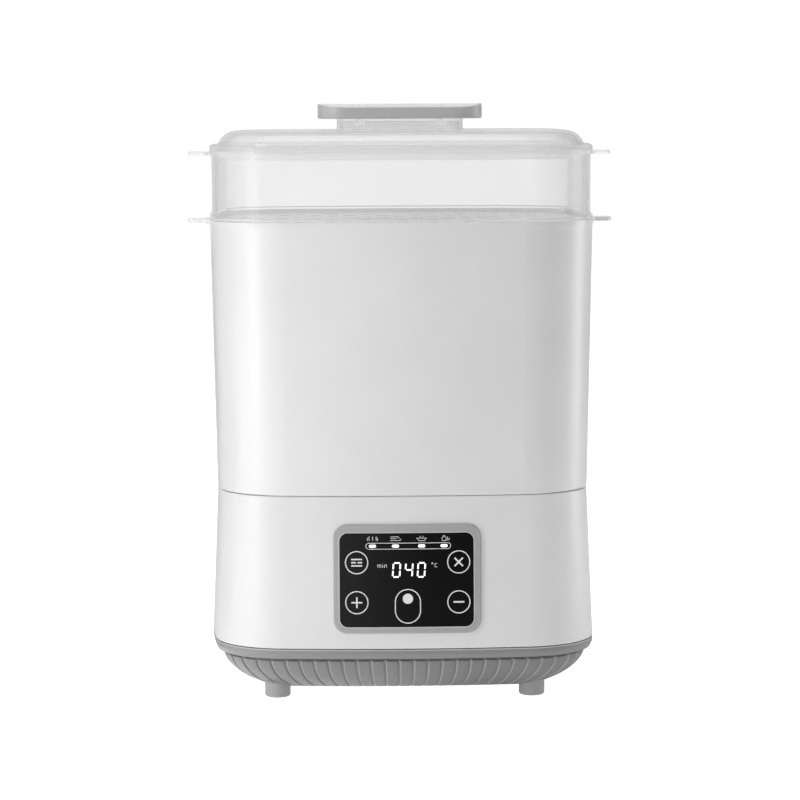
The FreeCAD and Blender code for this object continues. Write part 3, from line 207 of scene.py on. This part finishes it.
def add_grain(tools, shader, size, height, distance=0.0002):
    """A fine moulded texture: noise of about this many metres, as bump."""
    place = tools.node("ShaderNodeTexCoord")
    noise = tools.node("ShaderNodeTexNoise", Scale=1 / size, Detail=3.0, Roughness=0.6)
    bump = tools.node("ShaderNodeBump", Strength=height, Distance=distance)
    tools.join(place.outputs["Object"], noise.inputs["Vector"])
    tools.join(noise.outputs["Fac"], bump.inputs["Height"])
    tools.join(bump.outputs["Normal"], shader.inputs["Normal"])
    return bump


def vary(tools, shader, socket, size, low, high, colour=None):
    """Slow change over the surface: a number between low and high, or a colour times it."""
    place = tools.node("ShaderNodeTexCoord")
    noise = tools.node("ShaderNodeTexNoise", Scale=1 / size, Detail=2.0)
    tools.join(place.outputs["Object"], noise.inputs["Vector"])
    ramp = tools.node("ShaderNodeMapRange", From_Min=0.3, From_Max=0.7, To_Min=low, To_Max=high)
    tools.join(noise.outputs["Fac"], ramp.inputs["Value"])
    if colour is None:
        tools.join(ramp.outputs["Result"], shader.inputs[socket])
        return
    tint = tools.node("ShaderNodeVectorMath")
    tint.operation = "SCALE"
    tint.inputs[0].default_value = colour
    tools.join(ramp.outputs["Result"], tint.inputs["Scale"])
    tools.join(tint.outputs["Vector"], shader.inputs[socket])


def plastic(name, colour, roughness, grain=0.0004, height=0.05, spread=0.02, **sockets):
    """Moulded plastic: a faint grain, and slight changes of tone and gloss."""
    material, shader, tools = new_material(name, colour, roughness, **sockets)
    add_grain(tools, shader, grain, height)
    vary(tools, shader, "Base Color", 0.06, 1 - spread, 1 + spread, colour)
    vary(tools, shader, "Roughness", 0.03, roughness * 0.92, roughness * 1.08)
    return material


def metal(name, colour, roughness, stretch=(1, 1, 1), lines=0.0006, height=0.08):
    """Bare metal with fine brushed lines, longest where stretch is small."""
    material, shader, tools = new_material(name, colour, roughness, Metallic=1.0)
    place = tools.node("ShaderNodeTexCoord")
    scale = tools.node("ShaderNodeMapping")
    scale.inputs["Scale"].default_value = stretch
    noise = tools.node("ShaderNodeTexNoise", Scale=1 / lines, Detail=2.0)
    bump = tools.node("ShaderNodeBump", Strength=height, Distance=0.0001)
    tools.join(place.outputs["Object"], scale.inputs["Vector"])
    tools.join(scale.outputs["Vector"], noise.inputs["Vector"])
    tools.join(noise.outputs["Fac"], bump.inputs["Height"])
    tools.join(bump.outputs["Normal"], shader.inputs["Normal"])
    vary(tools, shader, "Roughness", 0.02, roughness * 0.8, roughness * 1.2)
    return material


def clear_plastic(name, colour, thin, thick, glow, roughness, rims=(), flat=0):
    """Milky polypropylene under its own gloss: more solid towards its edges and at its thick rims, where the
    extra solidity is partly thicker plastic and partly painted shade. Glow is a painted glow standing in for
    light scattered inside the plastic, and it fades on walls seen edge on, a painted shade there.

    Each rim is the height where it begins and the height where it is full, in metres. Flat is how far
    level faces join the upright ones in losing the painted glow where they are seen edge on.
    """
    material, shader, tools = new_material(name, colour, 0.5)
    shader.inputs["Specular IOR Level"].default_value = 0
    # The emission is a painted glow, standing in for light scattered inside the milky plastic.
    shader.inputs["Emission Color"].default_value = (1, 1, 1, 1)
    shader.inputs["Emission Strength"].default_value = glow
    # The painted glow fades on upright walls seen edge on: painted shade along them.
    edge = tools.node("ShaderNodeLayerWeight", Blend=0.25)
    tilt = tools.node("ShaderNodeSeparateXYZ")
    tools.join(tools.node("ShaderNodeNewGeometry").outputs["Normal"], tilt.inputs["Vector"])
    level = tools.node("ShaderNodeMath")
    level.operation = "ABSOLUTE"
    wall = tools.node("ShaderNodeMapRange", To_Min=1, To_Max=flat)
    dim = tools.node("ShaderNodeMapRange", From_Min=PAINTED_GLOW_FADE_FROM, From_Max=PAINTED_GLOW_FADE_TO)
    both = tools.node("ShaderNodeMath")
    both.operation = "MULTIPLY"
    painted_glow_strength = tools.node("ShaderNodeMapRange", To_Min=glow, To_Max=0)
    tools.join(tilt.outputs["Z"], level.inputs[0])
    tools.join(level.outputs["Value"], wall.inputs["Value"])
    tools.join(edge.outputs["Facing"], dim.inputs["Value"])
    tools.join(wall.outputs["Result"], both.inputs[0])
    tools.join(dim.outputs["Result"], both.inputs[1])
    tools.join(both.outputs["Value"], painted_glow_strength.inputs["Value"])
    tools.join(painted_glow_strength.outputs["Result"], shader.inputs["Emission Strength"])
    ramp = tools.node("ShaderNodeMapRange", To_Min=thin, To_Max=thick)
    tools.join(edge.outputs["Facing"], ramp.inputs["Value"])
    solid = ramp.outputs["Result"]
    place = tools.node("ShaderNodeTexCoord")
    split = tools.node("ShaderNodeSeparateXYZ")
    tools.join(place.outputs["Object"], split.inputs["Vector"])
    # Each rim makes the plastic more solid there: partly its thicker plastic, partly painted shade.
    for begins, full in rims:
        rim = tools.node("ShaderNodeMapRange", From_Min=begins, From_Max=full, To_Max=RIM_SOLID_AND_SHADE)
        more = tools.node("ShaderNodeMath")
        more.use_clamp = True
        tools.join(split.outputs["Z"], rim.inputs["Value"])
        tools.join(solid, more.inputs[0])
        tools.join(rim.outputs["Result"], more.inputs[1])
        solid = more.outputs["Value"]
    tools.join(solid, shader.inputs["Alpha"])
    gloss = tools.node("ShaderNodeBsdfAnisotropic")
    gloss.inputs["Color"].default_value = (1, 1, 1, 1)
    vary(tools, gloss, "Roughness", 0.03, roughness * 0.85, roughness * 1.15)
    bump = add_grain(tools, shader, 0.5 * MM, 0.04)
    tools.join(bump.outputs["Normal"], gloss.inputs["Normal"])
    graze = tools.node("ShaderNodeLayerWeight", Blend=0.5)
    steep = tools.node("ShaderNodeMath")
    steep.operation = "POWER"
    steep.inputs[1].default_value = GLOSS_POWER
    bounce = tools.node("ShaderNodeMapRange", To_Min=GLOSS_FACE_ON, To_Max=GLOSS_EDGE_ON)
    tools.join(graze.outputs["Facing"], steep.inputs[0])
    tools.join(steep.outputs["Value"], bounce.inputs["Value"])
    mix = tools.node("ShaderNodeMixShader")
    tools.join(bounce.outputs["Result"], mix.inputs["Fac"])
    tools.join(shader.outputs["BSDF"], mix.inputs[1])
    tools.join(gloss.outputs["BSDF"], mix.inputs[2])
    out = material.node_tree.nodes["Material Output"]
    tools.join(mix.outputs["Shader"], out.inputs["Surface"])
    return material


def print_ink(name, glow):
    """The panel's white print, lit a little from behind."""
    material, shader, tools = new_material(name, (0.75, 0.75, 0.75), 0.4)
    shader.inputs["Emission Color"].default_value = (1, 1, 1, 1)
    shader.inputs["Emission Strength"].default_value = glow
    add_grain(tools, shader, 0.0003, 0.05)
    return material


def paint(material, *names):
    """Give CAD nodes a material, in every slot they have."""
    for name in names:
        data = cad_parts[name].data
        if not data.materials:
            data.materials.append(material)
        for index in range(len(data.materials)):
            data.materials[index] = material


def paint_cad_nodes():
    paint(plastic("white_abs", (0.86, 0.86, 0.86), 0.30, height=0.03), "base_shell", "chamber_shell",
          "air_outlet_cap", "filter_cover")
    paint(plastic("rack_white", (0.82, 0.82, 0.81), 0.38), "bottle_rack")
    # The tray and the lid carry a painted glow, and their rims are darker, partly from painted shade.
    paint(clear_plastic("milky_tray", (0.62, 0.62, 0.62), 0.12, 0.62, 0.24, 0.14,
                        ((0.3411, 0.3416), (0.3015, 0.3005))), "tray_shell")
    paint(clear_plastic("milky_lid", (0.62, 0.62, 0.62), 0.13, 0.62, 0.22, 0.14,
                        ((0.3478, 0.3473), (0.3568, 0.3578)), 0.7), "lid_shell")
    paint(plastic("grip_grey", (0.60, 0.60, 0.60), 0.38, height=0.08), "lid_handle_grip")
    paint(plastic("inlay_white", (0.84, 0.84, 0.84), 0.28, height=0.04), "lid_handle_inlay")
    # The screws under the handle carry a strong painted glow, so the shade inside the neck does not darken
    # them.
    paint(clear_plastic("nylon_painted_glow", (0.85, 0.85, 0.85), 0.30, 0.70, 0.55, 0.3), "lid_handle_screws")
    paint(plastic("cover_grey", (0.28, 0.28, 0.28), 0.36, height=0.10), "base_bottom_cover")
    paint(plastic("foot_grey", (0.45, 0.45, 0.45), 0.42, height=0.12), "feet")
    paint(plastic("bezel_grey", (0.44, 0.44, 0.44), 0.34, height=0.06), "panel_bezel")
    glass, shader, tools = new_material("panel_black", (0.003, 0.003, 0.003), 0.22, Specular_IOR_Level=0.13)
    vary(tools, shader, "Roughness", 0.02, 0.20, 0.24)
    paint(glass, "panel_glass")
    paint(plastic("board_green", (0.03, 0.16, 0.07), 0.35), "display_board", "power_board")
    paint(plastic("black_moulding", (0.02, 0.02, 0.02), 0.42, height=0.10), "digit_display", "thermal_cutout",
          "fan_housing", "fan_impeller", "power_inlet", "board_capacitors")
    paint(plastic("lamp_lens", (0.85, 0.85, 0.88), 0.15), "indicator_lamps")
    paint(metal("zinc", (0.60, 0.60, 0.62), 0.32), "cover_screws", "board_screws",
          "heater_clamp_screws", "fan_motor", "fan_shaft", "heating_element")
    paint(metal("plate_steel", (0.62, 0.62, 0.63), 0.24, stretch=(0.05, 1, 1)), "heating_plate")
    paint(metal("milled_aluminium", (0.72, 0.72, 0.74), 0.35), "heater_clamp", "air_heater")
    paint(metal("plated_brass", (0.80, 0.62, 0.30), 0.25), "touch_key_springs", "temperature_sensor",
          "inlet_pins")
    paint(plastic("silicone_seal", (0.70, 0.70, 0.69), 0.6), "plate_seal")
    paint(plastic("duct_cream", (0.70, 0.67, 0.58), 0.5), "air_duct")
    paint(plastic("filter_felt", (0.80, 0.80, 0.79), 0.95, grain=0.0012, height=0.8), "air_filter")
    paint(plastic("relay_blue", (0.03, 0.10, 0.38), 0.3), "power_relay")
    paint(plastic("tape_yellow", (0.72, 0.50, 0.06), 0.4), "power_transformer")
    paint(plastic("wire_brown", (0.16, 0.06, 0.03), 0.4), "mains_wires")
    paint(plastic("wire_white", (0.80, 0.80, 0.78), 0.5), "heater_wires", "panel_wires")


# ---------------------------------------------------------------- the crowned plan

CROWN = 760 * MM
CORNER = 47 * MM
CORNER_SHRINK = 0.8


class Plan:
    """The steriliser's outline at one half width: four crowned sides joined by round corners."""

    def __init__(self, half, corner):
        self.corner = corner
        self.back = CROWN - half
        reach = CROWN - corner
        self.offset = (math.sqrt(2 * reach ** 2 - self.back ** 2) - self.back) / 2
        self.spread = math.atan2(self.offset, self.back + self.offset)
        self.diagonal = self.offset + corner * math.sin(math.pi / 4)

    def at(self, across, quarter):
        """The point and the outward normal this far across a side; quarter 0 is the front."""
        sign = 1 if across >= 0 else -1
        flat = CROWN * math.sin(self.spread)
        if abs(across) <= flat:
            angle = math.asin(abs(across) / CROWN)
            local = Vector((CROWN * math.cos(angle) - self.back, abs(across)))
        else:
            angle = math.asin(min((abs(across) - self.offset) / self.corner, 1))
            local = Vector((self.offset + self.corner * math.cos(angle), abs(across)))
        normal = Vector((math.cos(angle), sign * math.sin(angle)))
        local.y *= sign
        spin = Matrix.Rotation((quarter - 1) * math.pi / 2, 2)
        return spin @ local, spin @ normal


def new_piece(name, vertices, faces, material, body, slot, smooth=True):
    """A mesh object that rides on a body; the slot it is given is not used."""
    mesh = bpy.data.meshes.new(name)
    mesh.from_pydata([tuple(v) for v in vertices], [], faces)
    mesh.update()
    build = bmesh.new()
    build.from_mesh(mesh)
    bmesh.ops.recalc_face_normals(build, faces=build.faces)
    build.to_mesh(mesh)
    build.free()
    for face in mesh.polygons:
        face.use_smooth = smooth
    mesh.materials.append(material)
    piece = bpy.data.objects.new(name, mesh)
    bpy.context.scene.collection.objects.link(piece)
    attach(piece, body)
    return piece


# ---------------------------------------------------------------- pleats round the bottom bowl

BEAD_STEPS = 60
BEAD_SIDES = 10
BAND_LIP_HALF = 123.5 * MM
BAND_LIP_HEIGHT = 35.75 * MM
BAND_LIP_THICK = 0.35 * MM
TRAY_LIP_HALF = 123.1 * MM
TRAY_LIP_HEIGHT = 302.4 * MM
TRAY_LIP_THICK = 0.35 * MM

BOWL_TOP = 28.8 * MM
BOWL_HALF = 118 * MM
BOWL_INSET = 43.9 * MM
BOWL_LOW = 4.3 * MM
BOWL_POWER = 1.7
PLEATS_PER_SIDE = 23
PLEAT_RISE = 0.8 * MM
PLEAT_SINK = 0.6 * MM
PLEAT_ROWS = 24
PLEAT_START = math.radians(2)
PLEAT_END = math.radians(76)
PLEAT_FADE = 7
# How much of the bowl's narrowing the pleats follow in the middle of a side.
PLEAT_LEAN = 0.62
# Across one pleat: how far along its pitch, and how high it stands, from 0 to 1.
PLEAT_PROFILE = ((0.05, 0.0), (0.135, 0.80), (0.17, 0.97), (0.23, 1.0), (0.38, 1.04), (0.53, 1.06),
                 (0.68, 1.04), (0.84, 1.0), (0.90, 0.95), (0.94, 0.75), (0.955, 0.0))
# How many faces up the wall of each groove that faces the light take the lighter grey: a painted highlight.
PLEAT_HIGHLIGHT_FACES = 2


def bowl_point(angle):
    """Half width, height and outward direction of the bowl's wall at an angle down its curve."""
    def spot(a):
        down, along = math.sin(a) ** (2 / BOWL_POWER), math.cos(a) ** (2 / BOWL_POWER)
        return Vector((BOWL_HALF - BOWL_INSET * (1 - along), BOWL_TOP - (BOWL_TOP - BOWL_LOW) * down))
    here = spot(angle)
    step = math.radians(0.5)
    way = spot(min(angle + step, math.pi / 2)) - spot(max(angle - step, 0))
    out = Vector((-way.y, way.x)).normalized()
    return here, out if out.x > 0 or out.y < 0 else -out


def make_pleats(material, edge):
    """Flat-topped pleats with narrow grooves between them, which follow the bowl in under the base.
    The wall of each groove that faces the light from the left takes a lighter grey, a painted highlight.
    """
    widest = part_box("base_bottom_cover")[1].x
    rows = []
    for row in range(PLEAT_ROWS + 1):
        angle = PLEAT_START + (PLEAT_END - PLEAT_START) * row / PLEAT_ROWS
        (half, height), out = bowl_point(angle)
        ease = min(1.0, (PLEAT_ROWS - row) / PLEAT_FADE)
        rows.append((Plan(half, CORNER - CORNER_SHRINK * (widest - half)), height, out, ease))
    reach = rows[0][0].diagonal
    vertices, faces, painted_highlight_faces = [], [], []
    across = len(PLEAT_PROFILE)
    ring = across + 2
    for pleat in range(4 * PLEATS_PER_SIDE):
        quarter, place = divmod(pleat, PLEATS_PER_SIDE)
        first = len(vertices)
        for plan, height, out, ease in rows:
            narrow = 1 - plan.diagonal / reach

            def spot(share):
                along = 2 * (place + share) / PLEATS_PER_SIDE - 1
                lean = PLEAT_LEAN + (1 - PLEAT_LEAN) * along ** 2
                return plan.at(along * reach * (1 - narrow * lean), quarter)

            for share, rise in PLEAT_PROFILE:
                flat, normal = spot(share)
                lift = PLEAT_RISE * rise * ease
                point = flat + normal * out.x * lift
                vertices.append((point.x, point.y, height + out.y * lift))
            for share in (PLEAT_PROFILE[-1][0], PLEAT_PROFILE[0][0]):
                flat, normal = spot(share)
                point = flat - normal * out.x * PLEAT_SINK
                vertices.append((point.x, point.y, height - out.y * PLEAT_SINK))
        for row in range(PLEAT_ROWS):
            low, high = first + row * ring, first + (row + 1) * ring
            for i in range(ring):
                if i < PLEAT_HIGHLIGHT_FACES:
                    painted_highlight_faces.append(len(faces))
                j = (i + 1) % ring
                faces.append((low + i, low + j, high + j, high + i))
        faces.append([first + i for i in range(ring)][::-1])
        faces.append([first + PLEAT_ROWS * ring + i for i in range(ring)])
    piece = new_piece("bowl_pleats", vertices, faces, material, "base", "base_grey")
    # The second material, a lighter grey on each groove's lit wall, is a painted highlight.
    piece.data.materials.append(edge)
    for face in painted_highlight_faces:
        piece.data.polygons[face].material_index = 1


def make_bead(name, half, height, thick, material, body, slot):
    """A fine rounded lip that runs all the way round a body."""
    plan = Plan(half, CORNER - CORNER_SHRINK * (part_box("base_bottom_cover")[1].x - half))
    vertices, faces = [], []
    steps = BEAD_STEPS * 4
    for step in range(steps):
        quarter, place = divmod(step, BEAD_STEPS)
        flat, normal = plan.at((2 * place / BEAD_STEPS - 1) * plan.diagonal, quarter)
        for side in range(BEAD_SIDES):
            angle = 2 * math.pi * side / BEAD_SIDES
            point = flat + normal * thick * math.cos(angle)
            vertices.append((point.x, point.y, height + thick * math.sin(angle)))
    for step in range(steps):
        low, high = step * BEAD_SIDES, (step + 1) % steps * BEAD_SIDES
        for side in range(BEAD_SIDES):
            after = (side + 1) % BEAD_SIDES
            faces.append((low + side, high + side, high + after, low + after))
    new_piece(name, vertices, faces, material, body, slot)


# ---------------------------------------------------------------- print on the control panel

PANEL_PROUD = 1.0 * MM
PRINT_RISE = 0.06 * MM
PRINT_STEP = 2.5 * MM
WALL_LOW_HALF = 123.7 * MM
WALL_TOP_HALF = 119.6 * MM
WALL_LOW = 36.5 * MM
WALL_TOP = 131.6 * MM


def on_glass(x, z, rise=PRINT_RISE):
    """A point on the panel's crowned, leaning face."""
    half = WALL_LOW_HALF + (WALL_TOP_HALF - WALL_LOW_HALF) * (z - WALL_LOW) / (WALL_TOP - WALL_LOW)
    return Vector((x, -(half + PANEL_PROUD + rise) + CROWN - math.sqrt(CROWN ** 2 - x ** 2), z))


def closer(points, closed):
    """The points, with more between those too far apart to follow the crowned glass."""
    flat = [Vector(p) for p in points]
    more = []
    for here, after in zip(flat, flat[1:] + flat[:1]):
        more.append(here)
        pieces = math.ceil((after - here).length / PRINT_STEP)
        if closed or after is not flat[0]:
            more += [here.lerp(after, i / pieces) for i in range(1, pieces)]
    return more


def print_strip(points, width, closed=False):
    """Vertices and faces of a thin printed line of one width along points of x and z."""
    flat = closer(points, closed)
    count = len(flat)
    sides = []
    for i, point in enumerate(flat):
        before = flat[i - 1] if closed or i else None
        after = flat[(i + 1) % count] if closed or i < count - 1 else None
        ways = [w.normalized() for w in ((point - before) if before is not None else None,
                                         (after - point) if after is not None else None) if w is not None]
        way = sum(ways, Vector((0, 0))).normalized()
        normal = Vector((-way.y, way.x))
        stretch = 1 / max(normal.dot(Vector((-ways[0].y, ways[0].x))), 0.4)
        sides.append((point + normal * width / 2 * stretch, point - normal * width / 2 * stretch))
    vertices, faces = [], []
    for outer, inner in sides:
        for spot in (outer, inner):
            vertices.append(on_glass(spot.x, spot.y))
            vertices.append(on_glass(spot.x, spot.y, -PRINT_RISE))
    for i in range(count if closed else count - 1):
        a, b = 4 * i, 4 * ((i + 1) % count)
        faces += [(a, b, b + 2, a + 2), (a + 1, a + 3, b + 3, b + 1), (a, a + 1, b + 1, b),
                  (a + 2, b + 2, b + 3, a + 3)]
    if not closed:
        end = 4 * (count - 1)
        faces += [(0, 2, 3, 1), (end, end + 1, end + 3, end + 2)]
    return vertices, faces


def arc(x, z, radius, start=0.0, turn=360.0, steps=40):
    """Points on a circle; a full turn leaves out the last, which is the first again."""
    last = steps if turn < 360 else steps - 1
    return [(x + radius * math.cos(math.radians(start + turn * i / steps)),
             z + radius * math.sin(math.radians(start + turn * i / steps))) for i in range(last + 1)]


def patch(points):
    """Vertices and faces of a small filled print, inside an outline of x and z."""
    vertices = [on_glass(x, z) for x, z in points] + [on_glass(x, z, -PRINT_RISE) for x, z in points]
    count = len(points)
    faces = [tuple(range(count)), tuple(range(2 * count - 1, count - 1, -1))]
    faces += [(i, count + i, count + (i + 1) % count, (i + 1) % count) for i in range(count)]
    return vertices, faces


def capsule(x, z, half_width, half_height):
    """Outline of an upright or a lying slot with round ends."""
    if half_height > half_width:
        rise = half_height - half_width
        return (arc(x, z + rise, half_width, 0, 180, 16) + arc(x, z - rise, half_width, 180, 180, 16))
    rise = half_width - half_height
    return (arc(x + rise, z, half_height, -90, 180, 10) + arc(x - rise, z, half_height, 90, 180, 10))


LIP_THICK = 0.38 * MM
LIP_RISE = 0.42 * MM
LIP_OUT = 0.30 * MM
LIP_CORNER = 5.1 * MM


def make_bezel_lip(material):
    """A fine rounded lip round the opening of the bezel, next to the glass."""
    low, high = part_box("panel_glass")
    x_low, x_high = low.x - LIP_OUT, high.x + LIP_OUT
    z_low, z_high = low.z - LIP_OUT, high.z + LIP_OUT
    corner = LIP_CORNER + LIP_OUT
    path = []
    for x, z, start in ((x_high - corner, z_high - corner, 0), (x_low + corner, z_high - corner, 90),
                        (x_low + corner, z_low + corner, 180), (x_high - corner, z_low + corner, 270)):
        path += arc(x, z, corner, start, 90, 12)
    path = closer(path, True)
    vertices, faces = [], []
    count = len(path)
    for i, spot in enumerate(path):
        way = (Vector(path[(i + 1) % count]) - Vector(path[i - 1])).normalized()
        for side in range(BEAD_SIDES):
            angle = 2 * math.pi * side / BEAD_SIDES
            flat = spot + Vector((-way.y, way.x)) * LIP_THICK * math.cos(angle)
            vertices.append(on_glass(flat.x, flat.y, LIP_RISE + LIP_THICK * math.sin(angle)))
    for i in range(count):
        here, after = i * BEAD_SIDES, (i + 1) % count * BEAD_SIDES
        for side in range(BEAD_SIDES):
            beside = (side + 1) % BEAD_SIDES
            faces.append((here + side, after + side, after + beside, here + beside))
    new_piece("bezel_lip", vertices, faces, material, "base", "bezel_grey")


SEGMENTS = {"a": ((0, 1), (1, 1)), "b": ((1, 1), (1, 0.5)), "c": ((1, 0.5), (1, 0)), "d": ((0, 0), (1, 0)),
            "e": ((0, 0.5), (0, 0)), "f": ((0, 1), (0, 0.5)), "g": ((0, 0.5), (1, 0.5))}
DIGITS = {"0": "abcdef", "4": "fgbc"}
DIGIT_LOW = 81.7 * MM
DIGIT_HEIGHT = 8.7 * MM
DIGIT_WIDTH = 4.3 * MM
DIGIT_STROKE = 0.95 * MM
DIGIT_LEAN = 0.07
DIGIT_GAP = 0.5 * MM
DIGIT_PLACES = (-8.2 * MM, -0.5 * MM, 7.2 * MM)


def digit(which, left):
    """The bars of one seven-segment digit, leaning slightly."""
    strokes = []
    for name in DIGITS[which]:
        first, last = [Vector((x * DIGIT_WIDTH, y * DIGIT_HEIGHT)) for x, y in SEGMENTS[name]]
        trim = (last - first).normalized() * DIGIT_GAP
        strokes.append(print_strip([(left + p.x + DIGIT_LEAN * p.y, DIGIT_LOW + p.y)
                                    for p in (first + trim, last - trim)], DIGIT_STROKE))
    return strokes


def gather(parts):
    """Join lists of vertices and faces into one."""
    vertices, faces = [], []
    for more, sides in parts:
        base = len(vertices)
        vertices += more
        faces += [tuple(base + i for i in side) for side in sides]
    return vertices, faces


def marks(x, z, strokes, width):
    """Printed strokes given in millimetres about one point."""
    return [print_strip([(x + a * MM, z + b * MM) for a, b in stroke], width) for stroke in strokes]


# Small signs of generic kinds, each a list of strokes in millimetres.
STEAM_SIGN = [[(-2.2 + i * 2.2, -1.4), (-1.8 + i * 2.2, -0.6), (-2.3 + i * 2.2, 0.3), (-1.9 + i * 2.2, 1.3)]
              for i in range(3)] + [[(-3.1, -1.5), (-3.1, 0.6)], [(3.2, -1.5), (3.2, 0.6)]]
AIR_SIGN = [[(-3.2, 1.1), (1.5, 1.1), (2.2, 0.7), (1.9, 0.1)], [(-3.2, 0.0), (0.9, 0.0)],
            [(-3.2, -1.2), (2.6, -1.2), (3.3, -0.7), (2.9, -0.1)]]
BOWL_SIGN = [[(-3.2, 0.2), (3.2, 0.2)], [(-2.7, 0.0), (-1.8, -1.4), (1.8, -1.4), (2.7, 0.0)],
             [(-1.0, 0.7), (-0.7, 1.5)], [(0.7, 0.7), (1.0, 1.5)]]
BOTTLE_SIGN = [[(-1.2, -1.5), (-1.2, 0.4), (-0.5, 0.9), (-0.5, 1.5), (0.5, 1.5), (0.5, 0.9), (1.2, 0.4),
                (1.2, -1.5), (-1.2, -1.5)], [(2.1, -1.5), (2.1, 1.0)], [(3.1, -1.5), (3.1, 0.2)]]
MINUTE_SIGN = [[(-2.9, -0.9), (-2.9, 0.8), (-1.9, 0.8), (-1.9, -0.9)],
               [(-1.9, 0.8), (-0.9, 0.8), (-0.9, -0.9)], [(0.2, -0.9), (0.2, 0.7)], [(0.2, 1.2), (0.2, 1.5)],
               [(1.3, -0.9), (1.3, 0.8), (2.6, 0.8), (2.6, -0.9)]]
DEGREE_SIGN = [[(-1.6, 1.5), (-0.9, 1.5), (-0.9, 0.9), (-1.6, 0.9), (-1.6, 1.5)],
               [(1.7, 0.8), (1.2, 1.1), (0.5, 0.8), (0.2, 0.0), (0.5, -0.9), (1.2, -1.2), (1.7, -0.9)]]
MENU_SIGN = [[(-3.4, 2.0), (3.4, 2.0)], [(-3.4, 0), (-0.5, 0)], [(0.6, 0), (3.4, 0)],
             [(-3.4, -2.0), (3.4, -2.0)]]
MINUS_SIGN = [[(-3.4, 0), (3.4, 0)]]
PLUS_SIGN = MINUS_SIGN + [[(0, -3.4), (0, -0.45)], [(0, 0.45), (0, 3.4)]]
CROSS_SIGN = [[(-2.6, -2.6), (2.6, 2.6)], [(-2.6, 2.6), (-0.36, 0.36)], [(0.36, -0.36), (2.6, -2.6)]]
PANEL_MIDDLE = 1.6 * MM
KEY_MIDDLE = 1.2 * MM
KEY_X = 31.65 * MM
KEY_HIGH = 90.7 * MM
KEY_LOW = 65.8 * MM
KEY_RADIUS = 6.9 * MM
POWER_Z = 63.4 * MM
LAMP_Z = 100.9 * MM
LAMPS = (-22.2 * MM, -7.9 * MM, 8.3 * MM, 22.2 * MM)
LABEL_Z = 105.6 * MM
UNIT_Z = 88.4 * MM
FINE = 0.36 * MM


def make_panel_print(ink, dim, lit):
    """Touch-key rings and signs, the lamp strip, the power key and the lit digits."""
    def add(name, parts, material, slot):
        new_piece(name, *gather(parts), material, "base", slot, smooth=False)

    middle, keys = PANEL_MIDDLE, KEY_MIDDLE
    add("key_rings", [print_strip(arc(keys + x, z, KEY_RADIUS), 0.62 * MM, closed=True)
                      for x in (-KEY_X, KEY_X) for z in (KEY_HIGH, KEY_LOW)], ink, "bezel_grey")
    add("key_signs", marks(keys - KEY_X, KEY_HIGH, MENU_SIGN, 0.85 * MM)
        + marks(keys - KEY_X, KEY_LOW, PLUS_SIGN, 0.9 * MM)
        + marks(keys + KEY_X, KEY_LOW, MINUS_SIGN, 1.0 * MM)
        + marks(keys + KEY_X, KEY_HIGH, CROSS_SIGN, 1.0 * MM), ink, "bezel_grey")
    add("power_outline", [print_strip(capsule(keys, POWER_Z, 7.8 * MM, 10.5 * MM), 0.62 * MM, closed=True)],
        ink, "bezel_grey")
    add("power_dot", [patch(arc(keys, POWER_Z + 4.7 * MM, 3.2 * MM))], ink, "lamp_lens")
    add("lamp_outline", [print_strip(capsule(middle, LAMP_Z, 26.3 * MM, 1.85 * MM), 0.42 * MM, closed=True)],
        dim, "bezel_grey")
    add("lamp_bars", [patch(capsule(middle + x, LAMP_Z, 2.2 * MM, 0.95 * MM)) for x in LAMPS], lit,
        "lamp_lens")
    labels = []
    for x, sign in zip(LAMPS, (STEAM_SIGN, AIR_SIGN, BOWL_SIGN, BOTTLE_SIGN)):
        labels += marks(middle + x, LABEL_Z, sign, FINE)
    add("lamp_signs", labels, dim, "bezel_grey")
    add("unit_signs", marks(middle - 16.1 * MM, UNIT_Z, MINUTE_SIGN, FINE)
        + marks(middle + 16.1 * MM, UNIT_Z + 0.4 * MM, DEGREE_SIGN, FINE), dim, "lamp_lens")
    add("lit_digits", [bar for which, left in zip("040", DIGIT_PLACES) for bar in digit(which, left)],
        lit, "lamp_lens")


make_camera()
make_stage()
paint_cad_nodes()
# A lighter grey than the band and the bezel for their fine lips: real rounded lips whose lighter colour is a
# painted highlight.
lip_painted_highlight_grey = plastic("lip_painted_highlight_grey", (0.62, 0.62, 0.62), 0.30, height=0.03)
# An opaque white for the tray's fine lip: a painted highlight line along its clear flange.
tray_lip_painted_highlight = plastic("tray_lip_painted_highlight", (0.88, 0.88, 0.88), 0.20)
# A lighter grey for the lit wall of each groove in the pleats: a painted highlight.
pleat_painted_highlight = plastic("pleat_painted_highlight", (0.40, 0.40, 0.40), 0.34, height=0.04)
make_pleats(plastic("pleat_grey", (0.24, 0.24, 0.24), 0.40, height=0.06), pleat_painted_highlight)
# The band's lip: a lighter grey line, a painted highlight under the white shell.
make_bead("band_lip", BAND_LIP_HALF, BAND_LIP_HEIGHT, BAND_LIP_THICK, lip_painted_highlight_grey, "base", "base_grey")
# The tray's lip in opaque white: a painted highlight line along the flange.
make_bead("tray_lip", TRAY_LIP_HALF, TRAY_LIP_HEIGHT, TRAY_LIP_THICK, tray_lip_painted_highlight, "tray", "clear_plastic")
# The bezel's lip in the same lighter grey: a painted highlight round the glass.
make_bezel_lip(lip_painted_highlight_grey)
make_panel_print(print_ink("panel_ink", 0.12), print_ink("panel_dim", 0.02), print_ink("panel_lit", 0.9))
